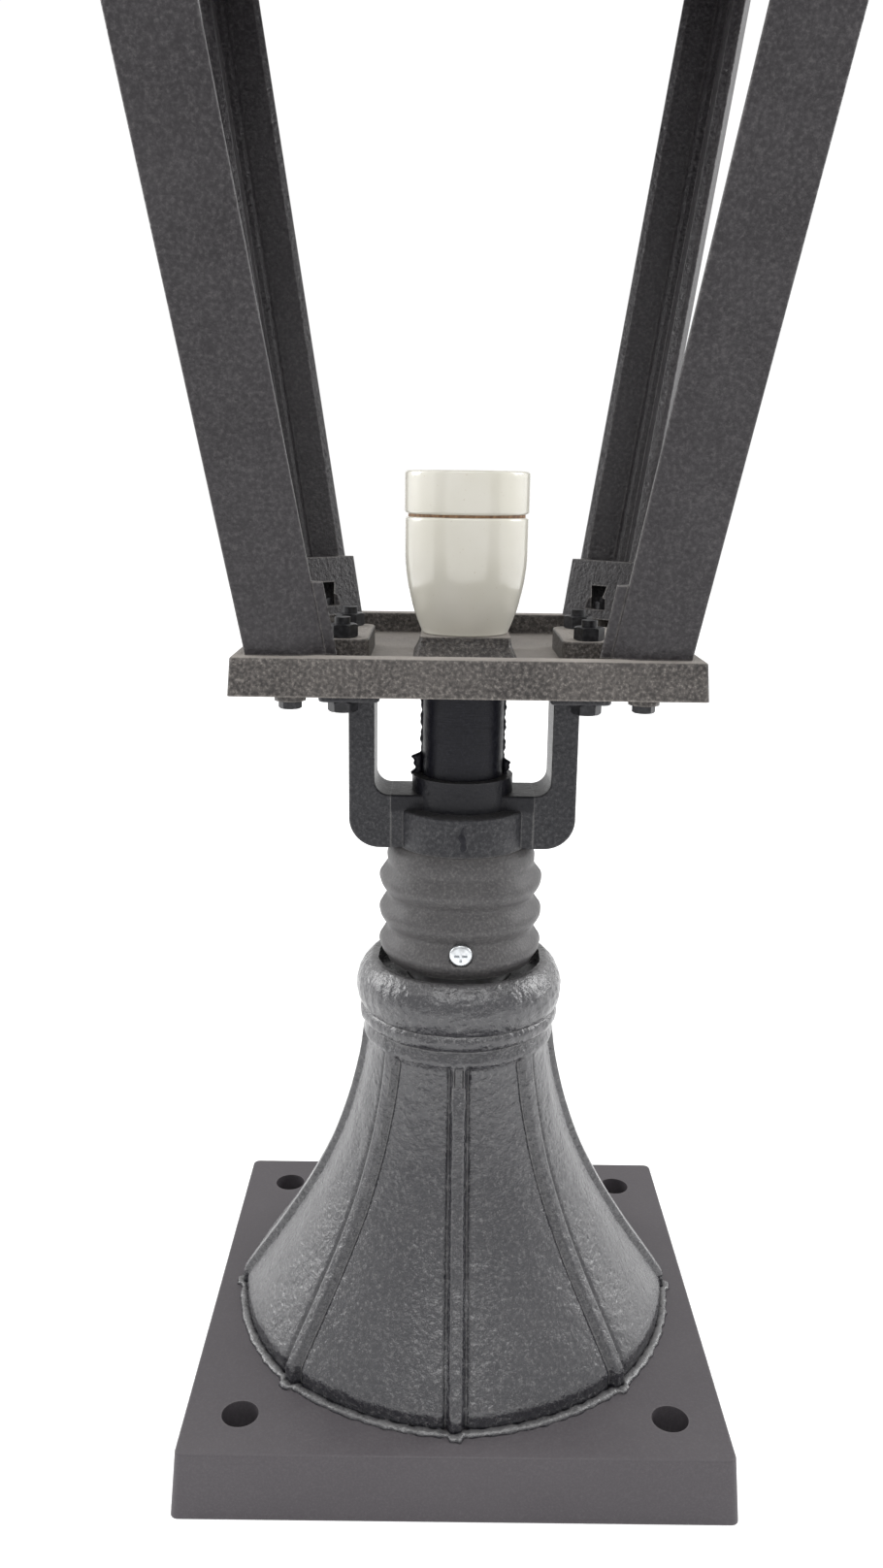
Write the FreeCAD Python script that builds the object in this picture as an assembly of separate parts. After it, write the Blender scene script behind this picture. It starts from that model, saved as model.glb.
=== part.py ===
import FreeCAD, Part
import math
import os
from FreeCAD import Vector

# Pedestal street lantern in cast metal, in millimetres.
# Origin: centre of the ground plate's underside.  +Z is up, the front is -Y.
# Heights are stacked from the ground up: every level below is worked out from the sizes above it.

# ---- fits shared by the whole lantern -------------------------------------------------------
FIT_GAP = 0.3               # between faces of pieces that move past each other
RUNNING_FIT = 0.06          # radial, shaft in its own bearing hole
BOLT_CLEARANCE = 0.3        # radial, bolt in a drilled hole
THREAD_CLEARANCE = 0.05     # radial, screw in its tapped hole
CASTING_CLEARANCE = 0.5     # between a cast socket and what stands in it
CASTING_EDGE = 0.9          # radius on a casting's outer edges

# ---- hexagon fasteners: across the flats, head height, nut height ---------------------------
M4_FLATS = 7.0
M4_HEAD_HEIGHT = 2.8
M4_NUT_HEIGHT = 3.2
M5_FLATS = 8.0
M5_HEAD_HEIGHT = 3.5
M6_FLATS = 10.0
M6_HEAD_HEIGHT = 4.0
M6_NUT_HEIGHT = 5.0
M8_FLATS = 13.0
M8_HEAD_HEIGHT = 5.3
M8_NUT_HEIGHT = 6.5
HEX_CORNER_SLOPE = 0.6      # drop of a turned-off corner per millimetre inwards
HOLE_BOTTOM = 1.0           # from a screw's end to the bottom of its tapped hole

# ---- ground plate ---------------------------------------------------------------------------
PLATE_WIDTH = 205.0         # across the flat top
PLATE_HEIGHT = 26.0
PLATE_DRAFT = 2.0           # each side, wider at the ground
PLATE_CORNER_RADIUS = 3.0
PLATE_TOP_WALL = 7.0
PLATE_SIDE_WALL = 8.0
ANCHOR_SPACING = 163.0
ANCHOR_HOLE_DIAMETER = 14.0
ANCHOR_BOSS_DIAMETER = 32.0
CABLE_ENTRY_DIAMETER = 70.0

# ---- bell pedestal: radius of the rib line and height above the plate -----------------------
BELL_FOOT_RADIUS = 92.0
BELL_LIP_HEIGHT = 7.5
BELL_FLARE = ((0.78, 0.155), (0.53, 0.32), (0.33, 0.48), (0.18, 0.63), (0.08, 0.79))   # of flare, of rise
BELL_NECK_HEIGHT = 124.0
BELL_WALL = 5.0
BELL_CAP_WALL = 9.0
BELL_JOINT_HEIGHT = 58.0    # where the bell's flared foot and its neck meet
RIB_COUNT = 8
RIB_WIDTH = 5.0
RIB_HEIGHT = 2.4
COLLAR_BAND_HEIGHT = 4.5
COLLAR_BEAD_PROUD = 1.7     # past the bell's neck
COLLAR_BEAD_HEIGHT = 7.0
COLLAR_PROUD = 3.3          # past the bell's neck
COLLAR_HEIGHT = 20.0
COLLAR_STEP = 1.0           # depth of the grooves above and below the bead
COLLAR_RIM_INSET = 3.0      # the collar's upper rim, in from the bell's neck
RECESS_INSET = 5.5          # the sunk ring's outer edge, in from the bell's neck
RECESS_DEPTH = 7.5
BELL_LUG_RADIUS = 10.0
BELL_LUG_HEIGHT = 22.0
BELL_LUG_WEB = 12.0         # width of the web from each lug to the wall
BELL_LUG_CIRCLE = 66.0      # radius of the circle of the four fixing lugs
BELL_SCREW_DIAMETER = 8.0

# ---- spigot tube on which the lantern turns -------------------------------------------------
SPIGOT_DIAMETER = 42.4
SPIGOT_WALL = 3.2
SPIGOT_FLANGE_THICKNESS = 5.0
SPIGOT_SCREW_SPACING = 5.5  # from the spigot's outside to the screws' centres
SPIGOT_SCREW_MARGIN = 5.4   # from the screws' centres to the bell's inside
SPIGOT_SCREW_COUNT = 3
SPIGOT_SCREW_DIAMETER = 5.0

# ---- ringed neck sleeve ---------------------------------------------------------------------
RING_COUNT = 3
RING_PITCH = 13.4
SLEEVE_WALL = 9.4           # at the grooves, outside the bearing bore
RING_DEPTH = 2.2
SLEEVE_SHOULDER_HEIGHT = 8.0
SLEEVE_SHOULDER_BULGE = 2.6
SLEEVE_TOP_WALL = 10.8      # round the stem
SLEEVE_CAP_WALL = 13.0
SET_SCREW_DIAMETER = 5.0
SET_SCREW_HEAD_DIAMETER = 9.0
SET_SCREW_HEAD_HEIGHT = 2.6
SET_SCREW_HEIGHT = 11.0     # above the sleeve's lower edge
CROSS_SLOT_WIDTH = 1.0
CROSS_SLOT_LENGTH = 5.0
CROSS_SLOT_DEPTH = 1.5

# ---- stem pipe and the yoke casting ---------------------------------------------------------
STEM_DIAMETER = 32.0
STEM_WALL = 3.0
BACKNUT_GAP = 0.4           # from the nut's corners to the bearing bore
BACKNUT_THICKNESS = 7.0
YOKE_COLLAR_WALL = 10.4     # round the stem
YOKE_COLLAR_HEIGHT = 15.5
YOKE_NECK_WALL = 4.0        # round the stem
YOKE_NECK_HEIGHT = 12.5
YOKE_JOINT_GAP = 1.6        # from the collar to each arm's joint on the web
YOKE_HALF_WIDTH = 44.5
YOKE_THICKNESS = 25.0
YOKE_LEG_WIDTH = 10.0
YOKE_WEB_HEIGHT = 21.5
YOKE_HEIGHT = 60.0          # from the collar's foot to the underside of the flanges
YOKE_OUTER_CORNER = 12.0
YOKE_INNER_CORNER = 6.0
FLANGE_INNER_X = 32.0
FLANGE_OUTER_X = 55.0
FLANGE_LENGTH = 52.0
FLANGE_CORNER = 3.0
FLANGE_THICKNESS = 6.0
YOKE_BOLT_X = 46.0
YOKE_BOLT_Y = 20.0
YOKE_BOLT_DIAMETER = 6.0
YOKE_BOLT_END = 2.5         # bolt end that shows past its nut

# ---- lantern tray ---------------------------------------------------------------------------
TRAY_WIDTH = 157.8          # across the rim's top
TRAY_DRAFT = 0.9            # each side, wider at the skirt
TRAY_HEIGHT = 13.0
TRAY_CORNER_RADIUS = 1.5
TRAY_RIM_WIDTH = 8.0
TRAY_FLOOR_THICKNESS = 4.5
TRAY_UNDER_PAD = 5.0
TRAY_PAD_INNER_X = 36.0
TRAY_PAD_OUTER_X = 60.0
TRAY_PAD_CORNER = 5.0
CENTRE_BOSS_HALF = 17.0
CENTRE_BOSS_FLARE = 3.0
CENTRE_BOSS_WAIST = 0.9     # how far the boss still spreads at half its height
CENTRE_BOSS_CORNER = 2.0
STEM_SOCKET_DEPTH = 6.5
CORNER_BOSS_RADIUS = 5.4
CORNER_BOSS_DROP = 4.0
CORNER_BOLT_OFFSET = 13.4   # from the post's outer faces at its foot, both ways
CORNER_BOLT_DIAMETER = 4.0
CORNER_BOLT_END = 2.0

# ---- corner posts ---------------------------------------------------------------------------
POST_INSET = 4.5            # from the tray's edge to the post's outer face, at the foot
POST_HEIGHT = 275.0
POST_FLARE = 0.1673         # outward lean per millimetre of height, both ways
POST_FLANGE_WIDTH = 26.5
POST_FLAT_WIDTH = 17.3
POST_BEVEL_DEPTH = 3.5
POST_THICKNESS = 8.0
POST_CHAMFER = 2.6
POST_BEAD = 4.5
GUSSET_HEIGHT = 24.5
GUSSET_OVERHANG = 5.0
GUSSET_INSET = 4.5
POST_FOOT_THICKNESS = 4.0
POST_HEAD_THICKNESS = 5.0
ARCH_RADIUS = 9.5
NUT_POCKET_RADIUS = 5.2     # room for a spanner round the nut in each arch
NUT_POCKET_HEIGHT = 10.0

# ---- lampholder -----------------------------------------------------------------------------
HOLDER_FOOT_RADIUS = 16.8
HOLDER_RADIUS = 23.5
HOLDER_BODY_HEIGHT = 44.0
HOLDER_NECK_RADIUS = 21.0
HOLDER_NECK_HEIGHT = 10.0
HOLDER_FLOOR = 5.0
HOLDER_WELL_RADIUS = 12.0
HOLDER_WAIST_SHARE = (0.71, 0.34)   # of the swell, of the height
HOLDER_SHOULDER_SHARE = 0.75        # of the height, where the side turns upright
GLAZE_EDGE = 0.8            # bevel on the glazed edges
HOLDER_LEDGE_HEIGHT = 20.0
HOLDER_BORE_RADIUS = 18.5
SEAL_THICKNESS = 1.0
SEAL_INSET = 1.2            # the seal's edge, in from the cup's side
HOLDER_RING_RADIUS = 23.8
HOLDER_RING_HEIGHT = 16.0
HOLDER_RING_LIP = 5.0
LAMP_THREAD_RADIUS = 13.3
SHELL_WALL = 0.5
SHELL_HEIGHT = 28.0
SHELL_FLANGE = 3.0
CONTACT_BLOCK_HEIGHT = 7.0
CONTACT_TONGUE_WIDTH = 6.0
CONTACT_TONGUE_THICKNESS = 0.6
CONTACT_TONGUE_HEIGHT = 4.0
CONTACT_TONGUE_FOOT = 7.0   # from the centre to the foot's end
CONTACT_TONGUE_BEND = 5.0   # from the centre to the bend
CONTACT_TONGUE_REACH = 4.0  # the sprung end, past the centre
NIPPLE_DIAMETER = 10.0
NIPPLE_BORE = 7.0
NIPPLE_NUT_FLATS = 14.0
NIPPLE_NUT_THICKNESS = 3.0
NIPPLE_END = 1.0            # nipple that shows past each nut
TERMINAL_SCREW_DIAMETER = 3.0
TERMINAL_SPACING = 22.0
EARTH_SCREW_DIAMETER = 4.0
EARTH_SCREW_Y = 46.0

# ---- top frame, hinge and catch -------------------------------------------------------------
FRAME_OVERHANG = 5.0
FRAME_WIDTH = 30.0
FRAME_HEIGHT = 10.0
FRAME_CORNER_RADIUS = 4.0
FRAME_SCREW_DIAMETER = 4.0
FRAME_SCREW_RECESS = 4.0
FRAME_SCREW_RECESS_RADIUS = 5.0
HEAD_BOLT_OFFSET = 15.5     # from the post's outer faces at its top, both ways
HINGE_PIN_DIAMETER = 6.0
HINGE_KNUCKLE_RADIUS = 6.5
HINGE_KNUCKLE_LENGTH = 12.0
HINGE_INNER_X = 30.0
HINGE_SETBACK = 7.0         # from the roof's rear edge to the pin's axis
HINGE_LIFT = 1.0            # the pin's axis above the frame's top
HINGE_ARM_THICKNESS = 7.0
PIN_END_RADIUS = 4.2
PIN_END_LENGTH = 2.0
CATCH_BOSS_RADIUS = 5.5
CATCH_SETBACK = 8.0         # from the roof's front edge to the catch's pivot
CATCH_ARM_LENGTH = 18.0
CATCH_ARM_WIDTH = 9.0
CATCH_ARM_THICKNESS = 4.0
CATCH_TAB_WIDTH = 7.0
CATCH_TAB_THICKNESS = 3.0
CATCH_TAB_HEIGHT = 8.0
CATCH_SCREW_DIAMETER = 4.0

# ---- roof, vent and finial ------------------------------------------------------------------
ROOF_OVERHANG = 5.0         # past the top frame
ROOF_FLANGE_THICKNESS = 6.0
ROOF_FLANGE_WIDTH = 16.0
ROOF_RISE = 86.0
ROOF_NECK_HALF = 33.0
ROOF_SAG = 9.0              # how far each slope bows inwards
ROOF_WALL = 4.0
ROOF_SLOPE_WALL = 5.6       # the slopes' wall, measured level
VENT_RADIUS = 28.0
VENT_WALL = 4.0
VENT_HEIGHT = 18.0
VENT_FLANGE_RADIUS = 32.0
VENT_FLANGE_THICKNESS = 3.0
VENT_TOP_BAND = 2.0         # above the slots
VENT_SLOT_COUNT = 8
VENT_SLOT_WIDTH = 8.0
VENT_SLOT_HEIGHT = 10.0
VENT_CAP_RADIUS = 40.0
VENT_CAP_HEIGHT = 20.0
VENT_CAP_WALL = 3.0
VENT_BRIM_DROP = 4.0
VENT_BRIM_RISE = 1.0
VENT_SHOULDER_SHARE = 0.62  # of the cap's radius and of its height, where its dome bends
FINIAL_RADIUS = 13.0
FINIAL_HEIGHT = 66.0
FINIAL_NECK_RADIUS = 6.5
FINIAL_TIP_RADIUS = 2.0
FINIAL_HOLLOW_SHARE = 0.75  # of the neck's radius, at the narrowest place
FINIAL_LEVELS = (0.08, 0.2, 0.58, 0.68)  # of the height: foot's curve, ball's foot and top, tip's foot
STUD_DIAMETER = 8.0
STUD_GRIP = 14.0            # stud length screwed into the finial
STUD_END = 2.5              # stud that shows under its nut
BRIDGE_BEARING = 2.5        # how far the bridge reaches past the throat at each end
BRIDGE_WIDTH = 14.0
BRIDGE_THICKNESS = 4.0

# ---- radii worked out from the sizes above --------------------------------------------------
SPIGOT_RADIUS = SPIGOT_DIAMETER / 2
STEM_RADIUS = STEM_DIAMETER / 2
SPIGOT_SCREW_CIRCLE = SPIGOT_RADIUS + SPIGOT_SCREW_SPACING
BELL_HOLLOW_RADIUS = SPIGOT_SCREW_CIRCLE + SPIGOT_SCREW_MARGIN
BELL_NECK_RADIUS = BELL_HOLLOW_RADIUS + BELL_WALL + RIB_HEIGHT
BEARING_RADIUS = SPIGOT_RADIUS + RUNNING_FIT
RING_GROOVE_RADIUS = SPIGOT_RADIUS + SLEEVE_WALL
RING_CREST_RADIUS = RING_GROOVE_RADIUS + RING_DEPTH
BACKNUT_FLATS = (BEARING_RADIUS - BACKNUT_GAP) * math.sqrt(3)
SLEEVE_TOP_RADIUS = STEM_RADIUS + SLEEVE_TOP_WALL
YOKE_COLLAR_RADIUS = STEM_RADIUS + YOKE_COLLAR_WALL
YOKE_NECK_RADIUS = STEM_RADIUS + YOKE_NECK_WALL
YOKE_JOINT_X = YOKE_COLLAR_RADIUS + YOKE_JOINT_GAP

# ---- levels worked out from the sizes above -------------------------------------------------
PLATE_TOP = PLATE_HEIGHT
COLLAR_FOOT = PLATE_TOP + BELL_NECK_HEIGHT + COLLAR_BAND_HEIGHT
COLLAR_TOP = COLLAR_FOOT + COLLAR_BEAD_HEIGHT + COLLAR_HEIGHT
RECESS_FLOOR = COLLAR_TOP - RECESS_DEPTH
SPIGOT_FLANGE_TOP = RECESS_FLOOR - BELL_CAP_WALL
SLEEVE_FOOT = COLLAR_TOP
SLEEVE_RINGS_TOP = SLEEVE_FOOT + RING_COUNT * RING_PITCH
SLEEVE_TOP = SLEEVE_RINGS_TOP + SLEEVE_SHOULDER_HEIGHT
CHAMBER_ROOF = SLEEVE_TOP - SLEEVE_CAP_WALL
BACKNUT_FOOT = CHAMBER_ROOF - BACKNUT_THICKNESS
SPIGOT_TOP = BACKNUT_FOOT - FIT_GAP
YOKE_FOOT = SLEEVE_TOP
FLANGE_FOOT = YOKE_FOOT + YOKE_HEIGHT
FLANGE_TOP = FLANGE_FOOT + FLANGE_THICKNESS
TRAY_FOOT = FLANGE_TOP + TRAY_UNDER_PAD
TRAY_FLOOR = TRAY_FOOT + TRAY_FLOOR_THICKNESS
TRAY_TOP = TRAY_FOOT + TRAY_HEIGHT
POST_TOP = TRAY_TOP + POST_HEIGHT
FRAME_TOP = POST_TOP + FRAME_HEIGHT
ROOF_FOOT = FRAME_TOP + FIT_GAP
ROOF_NECK_TOP = ROOF_FOOT + ROOF_FLANGE_THICKNESS + ROOF_RISE
VENT_TOP = ROOF_NECK_TOP + VENT_HEIGHT
CAP_TOP = VENT_TOP + VENT_CAP_HEIGHT

# ---- places worked out from the sizes above -------------------------------------------------
POST_FOOT_HALF = TRAY_WIDTH / 2 - POST_INSET
POST_HEAD_HALF = POST_FOOT_HALF + POST_FLARE * POST_HEIGHT
CORNER_BOLT_PLACE = POST_FOOT_HALF - CORNER_BOLT_OFFSET
HEAD_BOLT_PLACE = POST_HEAD_HALF - HEAD_BOLT_OFFSET
FRAME_HALF = POST_HEAD_HALF + FRAME_OVERHANG
ROOF_HALF = FRAME_HALF + ROOF_OVERHANG
HINGE_Y = ROOF_HALF + HINGE_SETBACK
HINGE_Z = FRAME_TOP + HINGE_LIFT
CATCH_Y = -(ROOF_HALF + CATCH_SETBACK)
CATCH_Z = ROOF_FOOT + ROOF_FLANGE_THICKNESS + FIT_GAP
HOLDER_RING_FOOT = TRAY_TOP + HOLDER_BODY_HEIGHT + SEAL_THICKNESS
RING_THREAD_RADIUS = HOLDER_NECK_RADIUS + FIT_GAP
CONTACT_FOOT = TRAY_TOP + HOLDER_LEDGE_HEIGHT
CONTACT_TOP = CONTACT_FOOT + CONTACT_BLOCK_HEIGHT
UP = Vector(0, 0, 1)
AXIS_X = Vector(1, 0, 0)
AXIS_Y = Vector(0, 1, 0)
ORIGIN = Vector(0, 0, 0)


# ---- shared shapes --------------------------------------------------------------------------
def rod(radius, z_low, z_high, x=0.0, y=0.0):
    """An upright round bar between two heights."""
    return Part.makeCylinder(radius, z_high - z_low, Vector(x, y, z_low))


def pipe(outer, inner, z_low, z_high, x=0.0, y=0.0):
    """An upright tube between two heights."""
    return rod(outer, z_low, z_high, x, y).cut(rod(inner, z_low, z_high, x, y))


def cross_rod(radius, length, centre, direction):
    """A round bar of the given length centred on a point, lying along a direction."""
    start = centre - direction * (length / 2)
    return Part.makeCylinder(radius, length, start, direction)


def block(x_low, x_high, y_low, y_high, z_low, z_high):
    """A square-cornered block given by its limits along each axis."""
    corner = Vector(x_low, y_low, z_low)
    return Part.makeBox(x_high - x_low, y_high - y_low, z_high - z_low, corner)


def hexagon(flats, z_low, z_high, x=0.0, y=0.0):
    """An upright hexagonal prism, given its width across the flats."""
    radius = flats / math.sqrt(3)
    corners = [Vector(x + radius * math.cos(math.radians(60 * k)),
                      y + radius * math.sin(math.radians(60 * k)), z_low) for k in range(7)]
    return Part.Face(Part.makePolygon(corners)).extrude(UP * (z_high - z_low))


def hex_blank(flats, z_low, z_high, x=0.0, y=0.0):
    """A hexagon with its corners turned off top and bottom."""
    corner = flats / math.sqrt(3)
    face = flats / 2
    drop = (corner - face) * HEX_CORNER_SLOPE
    outline = [(0, z_low), (face, z_low), (corner, z_low + drop),
               (corner, z_high - drop), (face, z_high), (0, z_high)]
    return hexagon(flats, z_low, z_high, x, y).common(lathe(outline).translated(Vector(x, y, 0)))


def hex_nut(flats, bore_radius, z_low, z_high, x=0.0, y=0.0):
    """A hexagonal nut."""
    return hex_blank(flats, z_low, z_high, x, y).cut(rod(bore_radius, z_low, z_high, x, y))


def lathe(outline):
    """A solid turned about the upright axis from (radius, height) corners."""
    corners = [Vector(radius, 0, height) for radius, height in outline]
    corners.append(corners[0])
    return Part.Face(Part.makePolygon(corners)).revolve(ORIGIN, UP, 360)


def turned(edges):
    """A solid turned about the upright axis from a closed run of edges."""
    wire = Part.Wire(Part.__sortEdges__(edges))
    return Part.Face(wire).revolve(ORIGIN, UP, 360)


def line(start, end):
    """A straight edge between two (radius, height) points."""
    return Part.makeLine(Vector(start[0], 0, start[1]), Vector(end[0], 0, end[1]))


def arc(start, middle, end):
    """A round edge through three (radius, height) points."""
    points = [Vector(radius, 0, height) for radius, height in (start, middle, end)]
    return Part.Arc(*points).toShape()


def rounded_square(half_x, half_y, corner, z, x=0.0, y=0.0):
    """A level rectangular wire with rounded corners."""
    outline = Part.makePlane(2 * half_x, 2 * half_y, Vector(x - half_x, y - half_y, z), UP)
    sharp = outline.OuterWire
    if corner <= 0:
        return sharp
    prism = Part.Face(sharp).extrude(UP)
    upright = [edge for edge in prism.Edges if abs(edge.tangentAt(edge.FirstParameter).z) > 0.9]
    softened = prism.makeFillet(corner, upright)
    base = min(softened.Faces, key=lambda face: face.CenterOfMass.z)
    return base.OuterWire


def slab(half_x, half_y, corner, z_low, z_high, x=0.0, y=0.0):
    """A rectangular slab with rounded upright corners."""
    return Part.Face(rounded_square(half_x, half_y, corner, z_low, x, y)).extrude(UP * (z_high - z_low))


def tapered_slab(half_low, half_high, corner, z_low, z_high):
    """A square slab that narrows or widens evenly with height."""
    lower = rounded_square(half_low, half_low, corner, z_low)
    upper = rounded_square(half_high, half_high, corner, z_high)
    return Part.makeLoft([lower, upper], True, True)


def soften(shape, level, radius=CASTING_EDGE):
    """Round every edge that lies at one height."""
    edges = [edge for edge in shape.Edges
             if abs(edge.BoundBox.ZMin - level) < 0.01 and abs(edge.BoundBox.ZMax - level) < 0.01]
    return shape.makeFillet(radius, edges)


def soft_outline(corners, radius=CASTING_EDGE):
    """A level wire through corner points, with every corner rounded."""
    count = len(corners)
    starts, edges = [], []
    for k, corner in enumerate(corners):
        before = (corners[k - 1] - corner).normalize()
        after = (corners[(k + 1) % count] - corner).normalize()
        half_angle = before.getAngle(after) / 2
        reach = radius / math.tan(half_angle)
        middle = corner + (before + after).normalize() * (radius / math.sin(half_angle) - radius)
        start, end = corner + before * reach, corner + after * reach
        edges.append(Part.Arc(start, middle, end).toShape())
        starts.append((start, end))
    for k in range(count):
        edges.append(Part.makeLine(starts[k][1], starts[(k + 1) % count][0]))
    return Part.Wire(Part.__sortEdges__(edges))


def four_corners(half_x, half_y):
    """The four places of a rectangular pattern."""
    return [(sx * half_x, sy * half_y) for sx in (-1, 1) for sy in (-1, 1)]


def turned_places(count, radius, first_deg=0.0):
    """Places spaced evenly round a circle."""
    angles = [math.radians(first_deg + 360.0 * k / count) for k in range(count)]
    return [(radius * math.cos(angle), radius * math.sin(angle)) for angle in angles]


def hex_bolt(diameter, head_z, tip_z, x, y, flats, head_height):
    """A hexagon-head bolt whose head's bearing face is at head_z and whose end is at tip_z."""
    head_top = head_z - math.copysign(head_height, tip_z - head_z)
    head = hex_blank(flats, min(head_z, head_top), max(head_z, head_top), x, y)
    shank = rod(diameter / 2, min(head_z, tip_z), max(head_z, tip_z), x, y)
    return head.fuse(shank).removeSplitter()


def group(shapes):
    """Separate solids of one kind kept together as one node."""
    return Part.makeCompound(shapes)


# ---- pedestal -------------------------------------------------------------------------------
def base_plate():
    """Square ground plate, hollow underneath, with four anchor holes in full-height bosses."""
    half_top = PLATE_WIDTH / 2
    half_foot = half_top + PLATE_DRAFT
    plate = tapered_slab(half_foot, half_top, PLATE_CORNER_RADIUS, 0, PLATE_TOP)
    hollow_half = half_top - PLATE_SIDE_WALL
    plate = plate.cut(slab(hollow_half, hollow_half, PLATE_CORNER_RADIUS, 0, PLATE_TOP - PLATE_TOP_WALL))
    for x, y in four_corners(ANCHOR_SPACING / 2, ANCHOR_SPACING / 2):
        plate = plate.fuse(rod(ANCHOR_BOSS_DIAMETER / 2, 0, PLATE_TOP - PLATE_TOP_WALL, x, y))
    outside = tapered_slab(half_foot, half_top, PLATE_CORNER_RADIUS, 0, PLATE_TOP)
    plate = plate.common(soften(outside, PLATE_TOP))
    for x, y in four_corners(ANCHOR_SPACING / 2, ANCHOR_SPACING / 2):
        plate = plate.cut(rod(ANCHOR_HOLE_DIAMETER / 2, 0, PLATE_TOP, x, y))
    for x, y in turned_places(4, BELL_LUG_CIRCLE):
        plate = plate.cut(rod(BELL_SCREW_DIAMETER / 2 + BOLT_CLEARANCE, 0, PLATE_TOP, x, y))
    return plate.cut(rod(CABLE_ENTRY_DIAMETER / 2, 0, PLATE_TOP)).removeSplitter()


def bell_flare(inset):
    """The bell's flaring outline as a smooth curve, moved inwards by the inset."""
    rise = BELL_NECK_HEIGHT - BELL_LIP_HEIGHT
    flare = BELL_FOOT_RADIUS - BELL_NECK_RADIUS
    shares = ((1.0, 0.0),) + BELL_FLARE + ((0.0, 1.0),)
    points = [Vector(BELL_NECK_RADIUS + flare * out - inset, 0,
                     PLATE_TOP + BELL_LIP_HEIGHT + rise * up) for out, up in shares]
    curve = Part.BSplineCurve()
    curve.interpolate(points)
    return curve.toShape()


def bell_turning(inset):
    """The solid inside the bell's outline, from the plate up to the neck, moved in by the inset."""
    foot = BELL_FOOT_RADIUS - inset
    neck = BELL_NECK_RADIUS - inset
    lip = PLATE_TOP + BELL_LIP_HEIGHT
    top = PLATE_TOP + BELL_NECK_HEIGHT
    edges = [line((0, PLATE_TOP), (foot, PLATE_TOP)), line((foot, PLATE_TOP), (foot, lip)),
             bell_flare(inset), line((neck, top), (0, top)), line((0, top), (0, PLATE_TOP))]
    return turned(edges)


def bell_collar():
    """The band, bead and round collar above the ribs, with the sunk ring round the spigot."""
    neck = BELL_NECK_RADIUS
    band_foot = PLATE_TOP + BELL_NECK_HEIGHT
    bead_top = COLLAR_FOOT + COLLAR_BEAD_HEIGHT
    bead_start = (neck - COLLAR_STEP, COLLAR_FOOT)
    bead_middle = (neck + COLLAR_BEAD_PROUD, COLLAR_FOOT + COLLAR_BEAD_HEIGHT / 2)
    bead_end = (neck + COLLAR_BEAD_PROUD - COLLAR_STEP, bead_top)
    crest = (neck + COLLAR_PROUD, bead_top + COLLAR_HEIGHT / 3)
    rim = (neck - COLLAR_RIM_INSET, COLLAR_TOP)
    edges = [line((0, band_foot), (neck, band_foot)), line((neck, band_foot), bead_start),
             arc(bead_start, bead_middle, bead_end), arc(bead_end, crest, rim),
             line(rim, (0, COLLAR_TOP)), line((0, COLLAR_TOP), (0, band_foot))]
    return turned(edges).cut(rod(neck - RECESS_INSET, RECESS_FLOOR, COLLAR_TOP))


def bell_ribs():
    """Upright ribs round the bell, cut from the outermost outline by thin slabs."""
    envelope = bell_turning(0)
    reach = BELL_FOOT_RADIUS + RIB_WIDTH
    ribs = []
    for k in range(RIB_COUNT):
        leaf = block(BELL_NECK_RADIUS / 2, reach, -RIB_WIDTH / 2, RIB_WIDTH / 2,
                     PLATE_TOP, PLATE_TOP + BELL_NECK_HEIGHT)
        leaf.rotate(ORIGIN, UP, 360.0 * k / RIB_COUNT)
        ribs.append(envelope.common(leaf))
    return ribs


def bell_lug(x, y):
    """A fixing lug inside the bell's foot, joined to the wall."""
    lug = rod(BELL_LUG_RADIUS, PLATE_TOP, PLATE_TOP + BELL_LUG_HEIGHT, x, y)
    half = BELL_LUG_WEB / 2
    web = block(BELL_LUG_CIRCLE, BELL_FOOT_RADIUS, -half, half, PLATE_TOP, PLATE_TOP + BELL_LUG_HEIGHT)
    web.rotate(ORIGIN, UP, math.degrees(math.atan2(y, x)))
    return lug.fuse(web)


def whole_bell():
    """Hollow flared pedestal with eight ribs, four fixing lugs and the collar that holds the spigot."""
    panels = bell_turning(RIB_HEIGHT)
    bell = panels.fuse([bell_collar()] + bell_ribs())
    hollow = bell_turning(RIB_HEIGHT + BELL_WALL)
    bell = bell.cut(hollow.fuse(rod(BELL_HOLLOW_RADIUS, PLATE_TOP, SPIGOT_FLANGE_TOP)))
    for x, y in turned_places(4, BELL_LUG_CIRCLE):
        bell = bell.fuse(bell_lug(x, y).common(panels))
    for x, y in turned_places(4, BELL_LUG_CIRCLE):
        depth = PLATE_TOP + BELL_LUG_HEIGHT - BELL_WALL
        bell = bell.cut(rod(BELL_SCREW_DIAMETER / 2 + THREAD_CLEARANCE, PLATE_TOP, depth, x, y))
    bell = bell.cut(rod(SPIGOT_RADIUS + CASTING_CLEARANCE, SPIGOT_FLANGE_TOP, COLLAR_TOP))
    for x, y in turned_places(SPIGOT_SCREW_COUNT, SPIGOT_SCREW_CIRCLE, 90):
        depth = RECESS_FLOOR - HOLE_BOTTOM
        hole = rod(SPIGOT_SCREW_DIAMETER / 2 + THREAD_CLEARANCE, SPIGOT_FLANGE_TOP, depth, x, y)
        bell = bell.cut(hole)
    return bell.removeSplitter()


def bell_foot():
    """The bell's flared foot with its lugs, up to the joint."""
    reach = 2 * BELL_FOOT_RADIUS
    return whole_bell().common(rod(reach, PLATE_TOP, PLATE_TOP + BELL_JOINT_HEIGHT))


def bell_neck():
    """The bell's narrow upper part with the collar, standing on the foot."""
    reach = 2 * BELL_FOOT_RADIUS
    return whole_bell().common(rod(reach, PLATE_TOP + BELL_JOINT_HEIGHT, COLLAR_TOP))


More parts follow.
